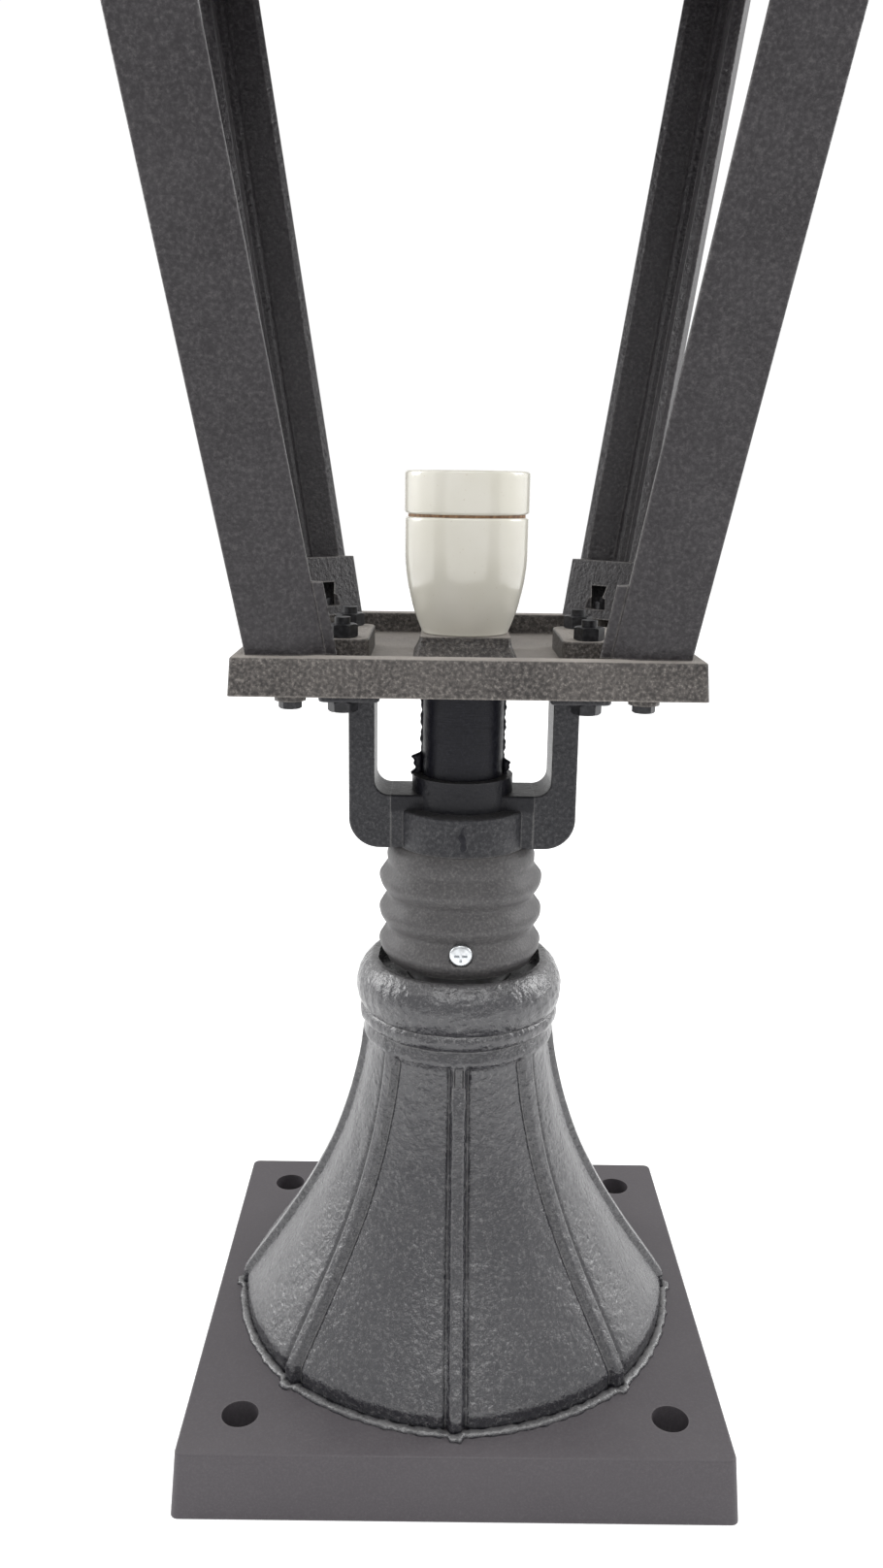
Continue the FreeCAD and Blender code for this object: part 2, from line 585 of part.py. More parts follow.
def bell_screws():
    """Four hexagon screws that hold the bell down, put in from under the plate."""
    head_z = PLATE_TOP - PLATE_TOP_WALL
    tip = PLATE_TOP + BELL_LUG_HEIGHT - BELL_WALL - HOLE_BOTTOM
    return group([hex_bolt(BELL_SCREW_DIAMETER, head_z, tip, x, y, M8_FLATS, M8_HEAD_HEIGHT)
                  for x, y in turned_places(4, BELL_LUG_CIRCLE)])


def spigot_tube():
    """Steel tube with a flange, screwed up under the bell's collar; the lantern turns on it."""
    bore = SPIGOT_RADIUS - SPIGOT_WALL
    tube = pipe(SPIGOT_RADIUS, bore, SPIGOT_FLANGE_TOP, SPIGOT_TOP)
    flange_foot = SPIGOT_FLANGE_TOP - SPIGOT_FLANGE_THICKNESS
    flange = pipe(BELL_HOLLOW_RADIUS - FIT_GAP, bore, flange_foot, SPIGOT_FLANGE_TOP)
    hole_radius = SPIGOT_SCREW_DIAMETER / 2 + BOLT_CLEARANCE
    for x, y in turned_places(SPIGOT_SCREW_COUNT, SPIGOT_SCREW_CIRCLE, 90):
        flange = flange.cut(rod(hole_radius, flange_foot, SPIGOT_FLANGE_TOP, x, y))
    return tube.fuse(flange).removeSplitter()


def spigot_screws():
    """Three screws up through the spigot's flange."""
    head_z = SPIGOT_FLANGE_TOP - SPIGOT_FLANGE_THICKNESS
    tip = RECESS_FLOOR - 2 * HOLE_BOTTOM
    return group([hex_bolt(SPIGOT_SCREW_DIAMETER, head_z, tip, x, y, M5_FLATS, M5_HEAD_HEIGHT)
                  for x, y in turned_places(SPIGOT_SCREW_COUNT, SPIGOT_SCREW_CIRCLE, 90)])


# ---- turning neck ---------------------------------------------------------------------------
def neck_sleeve():
    """Sleeve with three round rings outside, a bearing bore below and a nut chamber above it."""
    crest, groove = RING_CREST_RADIUS, RING_GROOVE_RADIUS
    edges = [line((0, SLEEVE_FOOT), (groove, SLEEVE_FOOT))]
    for k in range(RING_COUNT):
        low = SLEEVE_FOOT + k * RING_PITCH
        edges.append(arc((groove, low), (crest, low + RING_PITCH / 2), (groove, low + RING_PITCH)))
    shoulder = (SLEEVE_TOP_RADIUS + SLEEVE_SHOULDER_BULGE, SLEEVE_RINGS_TOP + SLEEVE_SHOULDER_HEIGHT / 2)
    top = (SLEEVE_TOP_RADIUS, SLEEVE_TOP)
    edges += [arc((groove, SLEEVE_RINGS_TOP), shoulder, top), line(top, (0, SLEEVE_TOP)),
              line((0, SLEEVE_TOP), (0, SLEEVE_FOOT))]
    sleeve = turned(edges).cut(rod(BEARING_RADIUS, SLEEVE_FOOT, CHAMBER_ROOF))
    sleeve = sleeve.cut(rod(STEM_RADIUS + THREAD_CLEARANCE, CHAMBER_ROOF, SLEEVE_TOP))
    screw_z = SLEEVE_FOOT + SET_SCREW_HEIGHT
    mouth = Vector(0, -RING_CREST_RADIUS, screw_z)
    depth = RING_CREST_RADIUS - SPIGOT_RADIUS + FIT_GAP
    hole = Part.makeCylinder(SET_SCREW_DIAMETER / 2 + THREAD_CLEARANCE, depth, mouth, AXIS_Y)
    seat_radius = SET_SCREW_HEAD_DIAMETER / 2 + BOLT_CLEARANCE
    seat = Part.makeCylinder(seat_radius, RING_CREST_RADIUS - RING_GROOVE_RADIUS, mouth, AXIS_Y)
    return sleeve.cut(hole).cut(seat).removeSplitter()


def neck_set_screw():
    """Cross-recess pan-head screw that locks the sleeve to the spigot."""
    screw_z = SLEEVE_FOOT + SET_SCREW_HEIGHT
    seat_y = -RING_GROOVE_RADIUS
    head_face = seat_y - SET_SCREW_HEAD_HEIGHT
    radius = SET_SCREW_HEAD_DIAMETER / 2
    head = Part.makeCylinder(radius, SET_SCREW_HEAD_HEIGHT, Vector(0, head_face, screw_z), AXIS_Y)
    rim = [edge for edge in head.Edges if abs(edge.CenterOfMass.y - head_face) < 0.01]
    head = head.makeFillet(SET_SCREW_HEAD_HEIGHT / 2, rim)
    shank = Part.makeCylinder(SET_SCREW_DIAMETER / 2, -SPIGOT_RADIUS - FIT_GAP - seat_y,
                              Vector(0, seat_y, screw_z), AXIS_Y)
    half = CROSS_SLOT_WIDTH / 2
    arm = CROSS_SLOT_LENGTH / 2
    depth = head_face + CROSS_SLOT_DEPTH
    cross = block(-arm, arm, head_face, depth, screw_z - half, screw_z + half)
    cross = cross.fuse(block(-half, half, head_face, depth, screw_z - arm, screw_z + arm))
    return head.fuse(shank).cut(cross).removeSplitter()


def stem_pipe():
    """Threaded pipe from the nut chamber up into the tray; the supply cable runs inside it."""
    return pipe(STEM_RADIUS, STEM_RADIUS - STEM_WALL, BACKNUT_FOOT, TRAY_FOOT + STEM_SOCKET_DEPTH)


def stem_backnut():
    """Large hexagon nut in the sleeve's chamber that draws sleeve, yoke and tray together."""
    return hex_nut(BACKNUT_FLATS, STEM_RADIUS + THREAD_CLEARANCE, BACKNUT_FOOT, CHAMBER_ROOF)


def yoke_outline(half, corner, z_low, z_high):
    """A U-shaped face seen from the front: flat top, rounded lower corners."""
    a = half - corner
    diagonal = corner * math.sqrt(0.5)
    left = arc((-half, z_low + corner), (-a - diagonal, z_low + corner - diagonal), (-a, z_low))
    right = arc((a, z_low), (a + diagonal, z_low + corner - diagonal), (half, z_low + corner))
    edges = [left, line((-a, z_low), (a, z_low)), right, line((half, z_low + corner), (half, z_high)),
             line((half, z_high), (-half, z_high)), line((-half, z_high), (-half, z_low + corner))]
    return Part.Face(Part.Wire(Part.__sortEdges__(edges)))


def upright_plate(face, thickness):
    """A front-facing outline made into a plate centred on the lantern's middle."""
    plate = face.extrude(AXIS_Y * thickness)
    plate.translate(AXIS_Y * (-thickness / 2))
    return plate


def yoke_frame():
    """The yoke's web, upright legs and flanges in one piece, with rounded edges."""
    outline = yoke_outline(YOKE_HALF_WIDTH, YOKE_OUTER_CORNER, YOKE_FOOT, FLANGE_FOOT)
    legs = upright_plate(outline, YOKE_THICKNESS)
    inner_half = YOKE_HALF_WIDTH - YOKE_LEG_WIDTH
    opening = yoke_outline(inner_half, YOKE_INNER_CORNER, YOKE_FOOT + YOKE_WEB_HEIGHT, FLANGE_TOP)
    frame = legs.cut(upright_plate(opening, YOKE_THICKNESS))
    rims = [edge for edge in frame.Edges
            if edge.BoundBox.YLength < 0.01 and edge.BoundBox.ZMin < FLANGE_FOOT - 1]
    frame = frame.makeFillet(CASTING_EDGE, rims)
    for side in (-1, 1):
        middle = side * (FLANGE_INNER_X + FLANGE_OUTER_X) / 2
        half = (FLANGE_OUTER_X - FLANGE_INNER_X) / 2
        flange = slab(half, FLANGE_LENGTH / 2, FLANGE_CORNER, FLANGE_FOOT, FLANGE_TOP, middle)
        frame = frame.fuse(soften(flange, FLANGE_FOOT))
    return frame


def yoke_hub():
    """The middle of the yoke: round collar and neck on the stem, and the web up to the two arms."""
    half = YOKE_THICKNESS / 2
    web = yoke_frame().common(block(-YOKE_JOINT_X, YOKE_JOINT_X, -half, half, YOKE_FOOT, FLANGE_FOOT))
    collar_top = YOKE_FOOT + YOKE_COLLAR_HEIGHT
    neck_top = collar_top + YOKE_NECK_HEIGHT
    hub = web.fuse(soften(rod(YOKE_COLLAR_RADIUS, YOKE_FOOT, collar_top), collar_top))
    hub = hub.fuse(rod(YOKE_NECK_RADIUS, YOKE_FOOT, neck_top))
    return hub.cut(rod(STEM_RADIUS + THREAD_CLEARANCE, YOKE_FOOT, neck_top)).removeSplitter()


def yoke_arm_right():
    """Upright arm welded to the web's end, with the flange that is bolted under the tray."""
    reach = FLANGE_LENGTH
    arm = yoke_frame().common(block(YOKE_JOINT_X, 2 * FLANGE_OUTER_X, -reach, reach, YOKE_FOOT, FLANGE_TOP))
    for x, y in four_corners(YOKE_BOLT_X, YOKE_BOLT_Y):
        arm = arm.cut(rod(YOKE_BOLT_DIAMETER / 2 + BOLT_CLEARANCE, FLANGE_FOOT, FLANGE_TOP, x, y))
    return arm.removeSplitter()


def yoke_arm_left():
    """The right arm's mirror image."""
    return yoke_arm_right().mirror(ORIGIN, AXIS_X)


def yoke_bolts():
    """Four hexagon bolts up through the yoke's flanges and the tray."""
    tip = TRAY_TOP + M6_NUT_HEIGHT + YOKE_BOLT_END
    return group([hex_bolt(YOKE_BOLT_DIAMETER, FLANGE_FOOT, tip, x, y, M6_FLATS, M6_HEAD_HEIGHT)
                  for x, y in four_corners(YOKE_BOLT_X, YOKE_BOLT_Y)])


def yoke_nuts():
    """Four hexagon nuts on the tray's side pads."""
    bore, top = YOKE_BOLT_DIAMETER / 2 + THREAD_CLEARANCE, TRAY_TOP + M6_NUT_HEIGHT
    return group([hex_nut(M6_FLATS, bore, TRAY_TOP, top, x, y)
                  for x, y in four_corners(YOKE_BOLT_X, YOKE_BOLT_Y)])


# ---- lantern tray and posts -----------------------------------------------------------------
def tray_boss():
    """Square boss in the tray's middle, spreading towards the floor, that carries the lampholder."""
    foot_half = CENTRE_BOSS_HALF + CENTRE_BOSS_FLARE
    waist_half = CENTRE_BOSS_HALF + CENTRE_BOSS_WAIST
    middle = (TRAY_FLOOR + TRAY_TOP) / 2
    levels = ((foot_half, TRAY_FLOOR), (waist_half, middle), (CENTRE_BOSS_HALF, TRAY_TOP))
    wires = [rounded_square(half, half, CENTRE_BOSS_CORNER, level) for half, level in levels]
    return Part.makeLoft(wires, True, False)


def lantern_tray():
    """Square floor casting with a raised rim, side pads, centre boss and corner bosses."""
    half_top = TRAY_WIDTH / 2
    tray = tapered_slab(half_top + TRAY_DRAFT, half_top, TRAY_CORNER_RADIUS, TRAY_FOOT, TRAY_TOP)
    inner = half_top - TRAY_RIM_WIDTH
    tray = tray.cut(slab(inner, inner, TRAY_CORNER_RADIUS, TRAY_FLOOR, TRAY_TOP))
    tray = soften(tray, TRAY_TOP)
    tray = tray.fuse(tray_boss())
    for side in (-1, 1):
        middle = side * (TRAY_PAD_INNER_X + TRAY_PAD_OUTER_X) / 2
        half = (TRAY_PAD_OUTER_X - TRAY_PAD_INNER_X) / 2
        pad = slab(half, FLANGE_LENGTH / 2, TRAY_PAD_CORNER, TRAY_FLOOR, TRAY_TOP, middle)
        tray = tray.fuse(soften(pad, TRAY_TOP))
        middle = side * (FLANGE_INNER_X + FLANGE_OUTER_X) / 2
        half = (FLANGE_OUTER_X - FLANGE_INNER_X) / 2
        tray = tray.fuse(slab(half, FLANGE_LENGTH / 2, FLANGE_CORNER, FLANGE_TOP, TRAY_FOOT, middle))
    for x, y in four_corners(CORNER_BOLT_PLACE, CORNER_BOLT_PLACE):
        tray = tray.fuse(rod(CORNER_BOSS_RADIUS, TRAY_FOOT - CORNER_BOSS_DROP, TRAY_TOP, x, y))
    for x, y in four_corners(CORNER_BOLT_PLACE, CORNER_BOLT_PLACE):
        hole = rod(CORNER_BOLT_DIAMETER / 2 + BOLT_CLEARANCE, TRAY_FOOT - CORNER_BOSS_DROP, TRAY_TOP, x, y)
        tray = tray.cut(hole)
    for x, y in four_corners(YOKE_BOLT_X, YOKE_BOLT_Y):
        tray = tray.cut(rod(YOKE_BOLT_DIAMETER / 2 + BOLT_CLEARANCE, FLANGE_TOP, TRAY_TOP, x, y))
    tray = tray.cut(rod(STEM_RADIUS + THREAD_CLEARANCE, TRAY_FOOT, TRAY_FOOT + STEM_SOCKET_DEPTH))
    tray = tray.cut(rod(NIPPLE_DIAMETER / 2 + BOLT_CLEARANCE, TRAY_FOOT, TRAY_TOP))
    tray = tray.cut(rod(EARTH_SCREW_DIAMETER / 2 + THREAD_CLEARANCE, TRAY_FOOT, TRAY_FLOOR, 0, EARTH_SCREW_Y))
    return tray.removeSplitter()


def post_section():
    """Corners of the post's L section, as distances inwards from its two outer faces."""
    width, flat, bevel = POST_FLANGE_WIDTH, POST_FLAT_WIDTH, POST_BEVEL_DEPTH
    thick, chamfer, bead = POST_THICKNESS, POST_CHAMFER, POST_BEAD
    arm = [(flat, 0), (width, bevel), (width, thick - chamfer), (width - chamfer, thick),
           (thick + bead, thick), (thick + bead * 3 / 4, thick + bead / 2)]
    other = [(v, u) for u, v in reversed(arm)]
    return [(0, 0)] + arm + other


def leaning_prism(section, start_rise, height):
    """A level section carried up along the post's lean, for the rear right corner."""
    base = POST_FOOT_HALF + POST_FLARE * start_rise
    level = TRAY_TOP + start_rise
    corners = [Vector(base - u, base - v, level) for u, v in section]
    lean = Vector(POST_FLARE * height, POST_FLARE * height, height)
    return Part.Face(soft_outline(corners)).extrude(lean)


def rear_right_post():
    """Corner post: leaning angle section with a gusset, bolting foot and head, and an arch."""
    near, far = GUSSET_INSET, POST_FLANGE_WIDTH + GUSSET_OVERHANG
    post = leaning_prism(post_section(), 0, POST_HEIGHT)
    web = [(far, near), (POST_FLANGE_WIDTH, near), (near, POST_FLANGE_WIDTH), (near, far)]
    post = post.fuse(leaning_prism(web, 0, GUSSET_HEIGHT))
    foot = [(near, near), (far, near), (near, far)]
    post = post.fuse(leaning_prism(foot, 0, POST_FOOT_THICKNESS))
    ear = near + POST_THICKNESS
    head = [(near, near), (POST_FLANGE_WIDTH, near), (POST_FLANGE_WIDTH, ear), (ear, POST_FLANGE_WIDTH),
            (near, POST_FLANGE_WIDTH)]
    post = post.fuse(leaning_prism(head, POST_HEIGHT - POST_HEAD_THICKNESS, POST_HEAD_THICKNESS))
    place = CORNER_BOLT_PLACE
    foot_top = TRAY_TOP + POST_FOOT_THICKNESS
    post = post.cut(rod(CORNER_BOLT_DIAMETER / 2 + BOLT_CLEARANCE, TRAY_TOP, foot_top, place, place))
    inward = Vector(-1, -1, 0).normalize()
    arch = Part.makeCylinder(ARCH_RADIUS, 2 * GUSSET_HEIGHT, Vector(place, place, TRAY_TOP), inward)
    reach = 2 * POST_FLANGE_WIDTH
    arch = arch.common(block(place - reach, place, place - reach, place, foot_top, foot_top + ARCH_RADIUS))
    pocket = rod(NUT_POCKET_RADIUS, foot_top, foot_top + NUT_POCKET_HEIGHT, place, place)
    post = post.cut([arch, pocket])
    head_place = HEAD_BOLT_PLACE
    hole = rod(FRAME_SCREW_DIAMETER / 2 + BOLT_CLEARANCE, POST_TOP - POST_HEAD_THICKNESS, POST_TOP,
               head_place, head_place)
    return post.cut(hole).removeSplitter()


def corner_posts():
    """The four corner posts, each the mirror image of its neighbours."""
    rear_right = rear_right_post()
    front_right = rear_right.mirror(ORIGIN, AXIS_Y)
    return {
        "corner_post_rear_right": rear_right,
        "corner_post_rear_left": rear_right.mirror(ORIGIN, AXIS_X),
        "corner_post_front_right": front_right,
        "corner_post_front_left": front_right.mirror(ORIGIN, AXIS_X),
    }


def post_bolts():
    """Four small hexagon bolts up through the tray's corner bosses."""
    tip = TRAY_TOP + POST_FOOT_THICKNESS + M4_NUT_HEIGHT + CORNER_BOLT_END
    head_z = TRAY_FOOT - CORNER_BOSS_DROP
    return group([hex_bolt(CORNER_BOLT_DIAMETER, head_z, tip, x, y, M4_FLATS, M4_HEAD_HEIGHT)
                  for x, y in four_corners(CORNER_BOLT_PLACE, CORNER_BOLT_PLACE)])


def post_nuts():
    """Four small nuts inside the arches at the posts' feet."""
    low = TRAY_TOP + POST_FOOT_THICKNESS
    bore = CORNER_BOLT_DIAMETER / 2 + THREAD_CLEARANCE
    return group([hex_nut(M4_FLATS, bore, low, low + M4_NUT_HEIGHT, x, y)
                  for x, y in four_corners(CORNER_BOLT_PLACE, CORNER_BOLT_PLACE)])


def earth_screw():
    """Brass earth terminal screw in the tray's floor."""
    tip = TRAY_FOOT + HOLE_BOTTOM
    return hex_bolt(EARTH_SCREW_DIAMETER, TRAY_FLOOR, tip, 0, EARTH_SCREW_Y, M4_FLATS, M4_HEAD_HEIGHT)


# ---- lampholder -----------------------------------------------------------------------------
def lampholder_body():
    """Glazed ceramic cup: narrow foot, swelling side, screw neck for the ring, ledge inside."""
    foot = TRAY_TOP
    top = TRAY_TOP + HOLDER_BODY_HEIGHT
    neck_top = top + SEAL_THICKNESS + HOLDER_NECK_HEIGHT
    radius = HOLDER_RADIUS
    swell, up = HOLDER_WAIST_SHARE
    lower = (HOLDER_FOOT_RADIUS, foot + GLAZE_EDGE)
    waist = (HOLDER_FOOT_RADIUS + (radius - HOLDER_FOOT_RADIUS) * swell, foot + HOLDER_BODY_HEIGHT * up)
    upper = (radius, foot + HOLDER_BODY_HEIGHT * HOLDER_SHOULDER_SHARE)
    corners = [upper, (radius, top - GLAZE_EDGE), (radius - GLAZE_EDGE, top), (HOLDER_NECK_RADIUS, top),
               (HOLDER_NECK_RADIUS, neck_top), (0, neck_top), (0, foot),
               (HOLDER_FOOT_RADIUS - GLAZE_EDGE, foot), lower]
    edges = [line(start, end) for start, end in zip(corners, corners[1:])]
    body = turned(edges + [arc(lower, waist, upper)])
    body = body.cut(rod(HOLDER_WELL_RADIUS, foot + HOLDER_FLOOR, CONTACT_FOOT))
    body = body.cut(rod(HOLDER_BORE_RADIUS, CONTACT_FOOT, neck_top))
    return body.cut(rod(NIPPLE_DIAMETER / 2 + BOLT_CLEARANCE, foot, foot + HOLDER_FLOOR))


def holder_nipple():
    """Threaded nipple that holds the lampholder on the boss and lets the wires through."""
    foot = TRAY_FOOT + STEM_SOCKET_DEPTH - NIPPLE_NUT_THICKNESS - NIPPLE_END
    top = TRAY_TOP + HOLDER_FLOOR + NIPPLE_NUT_THICKNESS + NIPPLE_END
    return pipe(NIPPLE_DIAMETER / 2, NIPPLE_BORE / 2, foot, top)


def nipple_nuts():
    """Two thin nuts on the nipple, above the holder's floor and under the boss."""
    bore = NIPPLE_DIAMETER / 2 + THREAD_CLEARANCE
    low = TRAY_TOP + HOLDER_FLOOR
    under = TRAY_FOOT + STEM_SOCKET_DEPTH
    return group([hex_nut(NIPPLE_NUT_FLATS, bore, low, low + NIPPLE_NUT_THICKNESS),
                  hex_nut(NIPPLE_NUT_FLATS, bore, under - NIPPLE_NUT_THICKNESS, under)])


def contact_block():
    """Ceramic block on the cup's ledge that carries the contacts."""
    block_radius = HOLDER_BORE_RADIUS - FIT_GAP
    body = rod(block_radius, CONTACT_FOOT, CONTACT_TOP)
    for side in (-1, 1):
        hole = rod(TERMINAL_SCREW_DIAMETER / 2 + THREAD_CLEARANCE, CONTACT_FOOT, CONTACT_TOP,
                   side * TERMINAL_SPACING / 2)
        body = body.cut(hole)
    return body


def lamp_screw_shell():
    """Brass screw shell that takes the lamp's cap, with a flange on the contact block."""
    inner = LAMP_THREAD_RADIUS
    shell = pipe(inner + SHELL_WALL, inner, CONTACT_TOP, CONTACT_TOP + SHELL_HEIGHT)
    flange = pipe(inner + SHELL_FLANGE, inner, CONTACT_TOP, CONTACT_TOP + SHELL_WALL)
    return shell.fuse(flange).removeSplitter()


def centre_contact():
    """Sprung brass tongue at the bottom of the screw shell."""
    half, sheet = CONTACT_TONGUE_WIDTH / 2, CONTACT_TONGUE_THICKNESS
    bend, top = CONTACT_TONGUE_BEND, CONTACT_TOP + CONTACT_TONGUE_HEIGHT
    strip = block(-CONTACT_TONGUE_FOOT, bend, -half, half, CONTACT_TOP, CONTACT_TOP + sheet)
    rise = block(bend - sheet, bend, -half, half, CONTACT_TOP, top)
    tongue = block(-CONTACT_TONGUE_REACH, bend, -half, half, top - sheet, top)
    return strip.fuse([rise, tongue]).removeSplitter()


def terminal_screws():
    """Two brass terminal screws under the contact block."""
    radius = TERMINAL_SCREW_DIAMETER / 2
    half = TERMINAL_SPACING / 2
    return group([rod(radius, CONTACT_FOOT, CONTACT_TOP - HOLE_BOTTOM, x) for x in (-half, half)])


def holder_seal():
    """Thin fibre ring between the cup and its screw ring."""
    low = TRAY_TOP + HOLDER_BODY_HEIGHT
    return pipe(HOLDER_RADIUS - SEAL_INSET, RING_THREAD_RADIUS, low, low + SEAL_THICKNESS)


def holder_ring():
    """Glazed ceramic ring screwed on the cup's neck, with an inward lip over the screw shell."""
    foot = HOLDER_RING_FOOT
    top = foot + HOLDER_RING_HEIGHT
    outer = HOLDER_RING_RADIUS
    lip = LAMP_THREAD_RADIUS + SHELL_WALL + CASTING_CLEARANCE
    soft = GLAZE_EDGE
    outline = [(RING_THREAD_RADIUS, foot), (outer - soft, foot), (outer, foot + soft), (outer, top - soft),
               (outer - soft, top), (lip + soft, top), (lip, top - soft), (lip, top - HOLDER_RING_LIP),
               (RING_THREAD_RADIUS, top - HOLDER_RING_LIP)]
    return lathe(outline)


# ---- top frame, hinge and catch -------------------------------------------------------------
def knuckle(x_low, x_high):
    """One hinge barrel about the hinge pin, not yet drilled."""
    centre = Vector((x_low + x_high) / 2, HINGE_Y, HINGE_Z)
    return cross_rod(HINGE_KNUCKLE_RADIUS, x_high - x_low, centre, AXIS_X)


def knuckle_bore():
    """The hinge pin's path through every barrel."""
    reach = 2 * (HINGE_INNER_X + 3 * HINGE_KNUCKLE_LENGTH)
    return cross_rod(HINGE_PIN_DIAMETER / 2 + RUNNING_FIT, reach, Vector(0, HINGE_Y, HINGE_Z), AXIS_X)


def top_frame():
    """Square ring on the posts' heads with hinge barrels at the rear and the catch's boss in front."""
    inner = FRAME_HALF - FRAME_WIDTH
    frame = slab(FRAME_HALF, FRAME_HALF, FRAME_CORNER_RADIUS, POST_TOP, FRAME_TOP)
    frame = frame.cut(slab(inner, inner, FRAME_CORNER_RADIUS, POST_TOP, FRAME_TOP))
    frame = soften(soften(frame, POST_TOP), FRAME_TOP)
    arm_top = FRAME_TOP - CASTING_CLEARANCE
    arm_foot = arm_top - HINGE_ARM_THICKNESS
    for side in (-1, 1):
        ends = sorted((side * HINGE_INNER_X, side * (HINGE_INNER_X + HINGE_KNUCKLE_LENGTH)))
        arm = block(ends[0], ends[1], FRAME_HALF - CASTING_EDGE, HINGE_Y, arm_foot, arm_top)
        frame = frame.fuse([knuckle(*ends), arm])
    boss_top = CATCH_Z - CASTING_CLEARANCE
    boss_half = CATCH_BOSS_RADIUS
    boss_root = CASTING_EDGE - FRAME_HALF
    frame = frame.fuse(block(-boss_half, boss_half, CATCH_Y, boss_root, POST_TOP, FRAME_TOP))
    frame = frame.fuse(rod(CATCH_BOSS_RADIUS, POST_TOP, boss_top, 0, CATCH_Y))
    screw_hole = rod(CATCH_SCREW_DIAMETER / 2 + THREAD_CLEARANCE, POST_TOP, boss_top, 0, CATCH_Y)
    frame = frame.cut([knuckle_bore(), screw_hole])
    for x, y in four_corners(HEAD_BOLT_PLACE, HEAD_BOLT_PLACE):
        frame = frame.cut(rod(FRAME_SCREW_DIAMETER / 2 + BOLT_CLEARANCE, POST_TOP, FRAME_TOP, x, y))
        frame = frame.cut(rod(FRAME_SCREW_RECESS_RADIUS, FRAME_TOP - FRAME_SCREW_RECESS, FRAME_TOP, x, y))
    return frame.removeSplitter()


def top_frame_screws():
    """Four screws down through the top frame into the posts' heads."""
    head_z = FRAME_TOP - FRAME_SCREW_RECESS
    tip = POST_TOP - POST_HEAD_THICKNESS - M4_NUT_HEIGHT - CORNER_BOLT_END
    return group([hex_bolt(FRAME_SCREW_DIAMETER, head_z, tip, x, y, M4_FLATS, M4_HEAD_HEIGHT)
                  for x, y in four_corners(HEAD_BOLT_PLACE, HEAD_BOLT_PLACE)])


def top_frame_nuts():
    """Four nuts under the posts' heads."""
    high = POST_TOP - POST_HEAD_THICKNESS
    bore = FRAME_SCREW_DIAMETER / 2 + THREAD_CLEARANCE
    return group([hex_nut(M4_FLATS, bore, high - M4_NUT_HEIGHT, high, x, y)
                  for x, y in four_corners(HEAD_BOLT_PLACE, HEAD_BOLT_PLACE)])


def hinge_pin():
    """Steel pin through the frame's and the roof's hinge barrels, with a turned end each side."""
    outer_end = HINGE_INNER_X + 2 * HINGE_KNUCKLE_LENGTH + FIT_GAP
    length = 2 * (outer_end + FIT_GAP)
    centre = Vector(0, HINGE_Y, HINGE_Z)
    pin = cross_rod(HINGE_PIN_DIAMETER / 2, length, centre, AXIS_X)
    for side in (-1, 1):
        end = centre + AXIS_X * (side * length / 2)
        pin = pin.fuse(Part.makeCylinder(PIN_END_RADIUS, PIN_END_LENGTH, end, AXIS_X * side))
    return pin.removeSplitter()


def roof_catch():
    """Turn button that swings over the roof's front edge; at rest it lies along the edge."""
    half = CATCH_ARM_WIDTH / 2
    tip = CATCH_ARM_LENGTH - half
    top = CATCH_Z + CATCH_ARM_THICKNESS
    arm = block(0, tip, CATCH_Y - half, CATCH_Y + half, CATCH_Z, top)
    arm = arm.fuse(rod(half, CATCH_Z, top, 0, CATCH_Y))
    arm = arm.fuse(rod(half, CATCH_Z, top, tip, CATCH_Y))
    near, tab_half = tip - CATCH_TAB_THICKNESS / 2, CATCH_TAB_WIDTH / 2
    tab = block(near, near + CATCH_TAB_THICKNESS, CATCH_Y - tab_half, CATCH_Y + tab_half,
                top, top + CATCH_TAB_HEIGHT)
    bore = rod(CATCH_SCREW_DIAMETER / 2 + RUNNING_FIT, CATCH_Z, top, 0, CATCH_Y)
    return arm.fuse(tab).cut(bore).removeSplitter()


def catch_screw():
    """Shouldered screw on which the catch turns."""
    head_z = CATCH_Z + CATCH_ARM_THICKNESS + FIT_GAP
    tip = POST_TOP + HOLE_BOTTOM
    return hex_bolt(CATCH_SCREW_DIAMETER, head_z, tip, 0, CATCH_Y, M4_FLATS, M4_HEAD_HEIGHT)


# ---- roof -----------------------------------------------------------------------------------
def roof_gable(inset):
    """Front outline of the roof between its flange and neck, each slope bowing inwards."""
    low = ROOF_FOOT + ROOF_FLANGE_THICKNESS
    foot = ROOF_HALF - ROOF_FLANGE_WIDTH - inset
    neck = ROOF_NECK_HALF - inset
    high = ROOF_NECK_TOP
    slope = math.hypot(foot - neck, high - low)
    middle = ((foot + neck) / 2 - ROOF_SAG * (high - low) / slope,
              (low + high) / 2 - ROOF_SAG * (foot - neck) / slope)
    edges = [line((-foot, low), (foot, low)), arc((foot, low), middle, (neck, high)),
             line((neck, high), (-neck, high)), arc((-neck, high), (-middle[0], middle[1]), (-foot, low))]
    return Part.Face(Part.Wire(Part.__sortEdges__(edges)))


def roof_hill(inset):
    """Four-sided hill: the gable carried both ways, and only what both have in common kept."""
    one_way = upright_plate(roof_gable(inset), 2 * ROOF_HALF)
    other_way = one_way.copy()
    other_way.rotate(ORIGIN, UP, 90)
    return one_way.common(other_way)


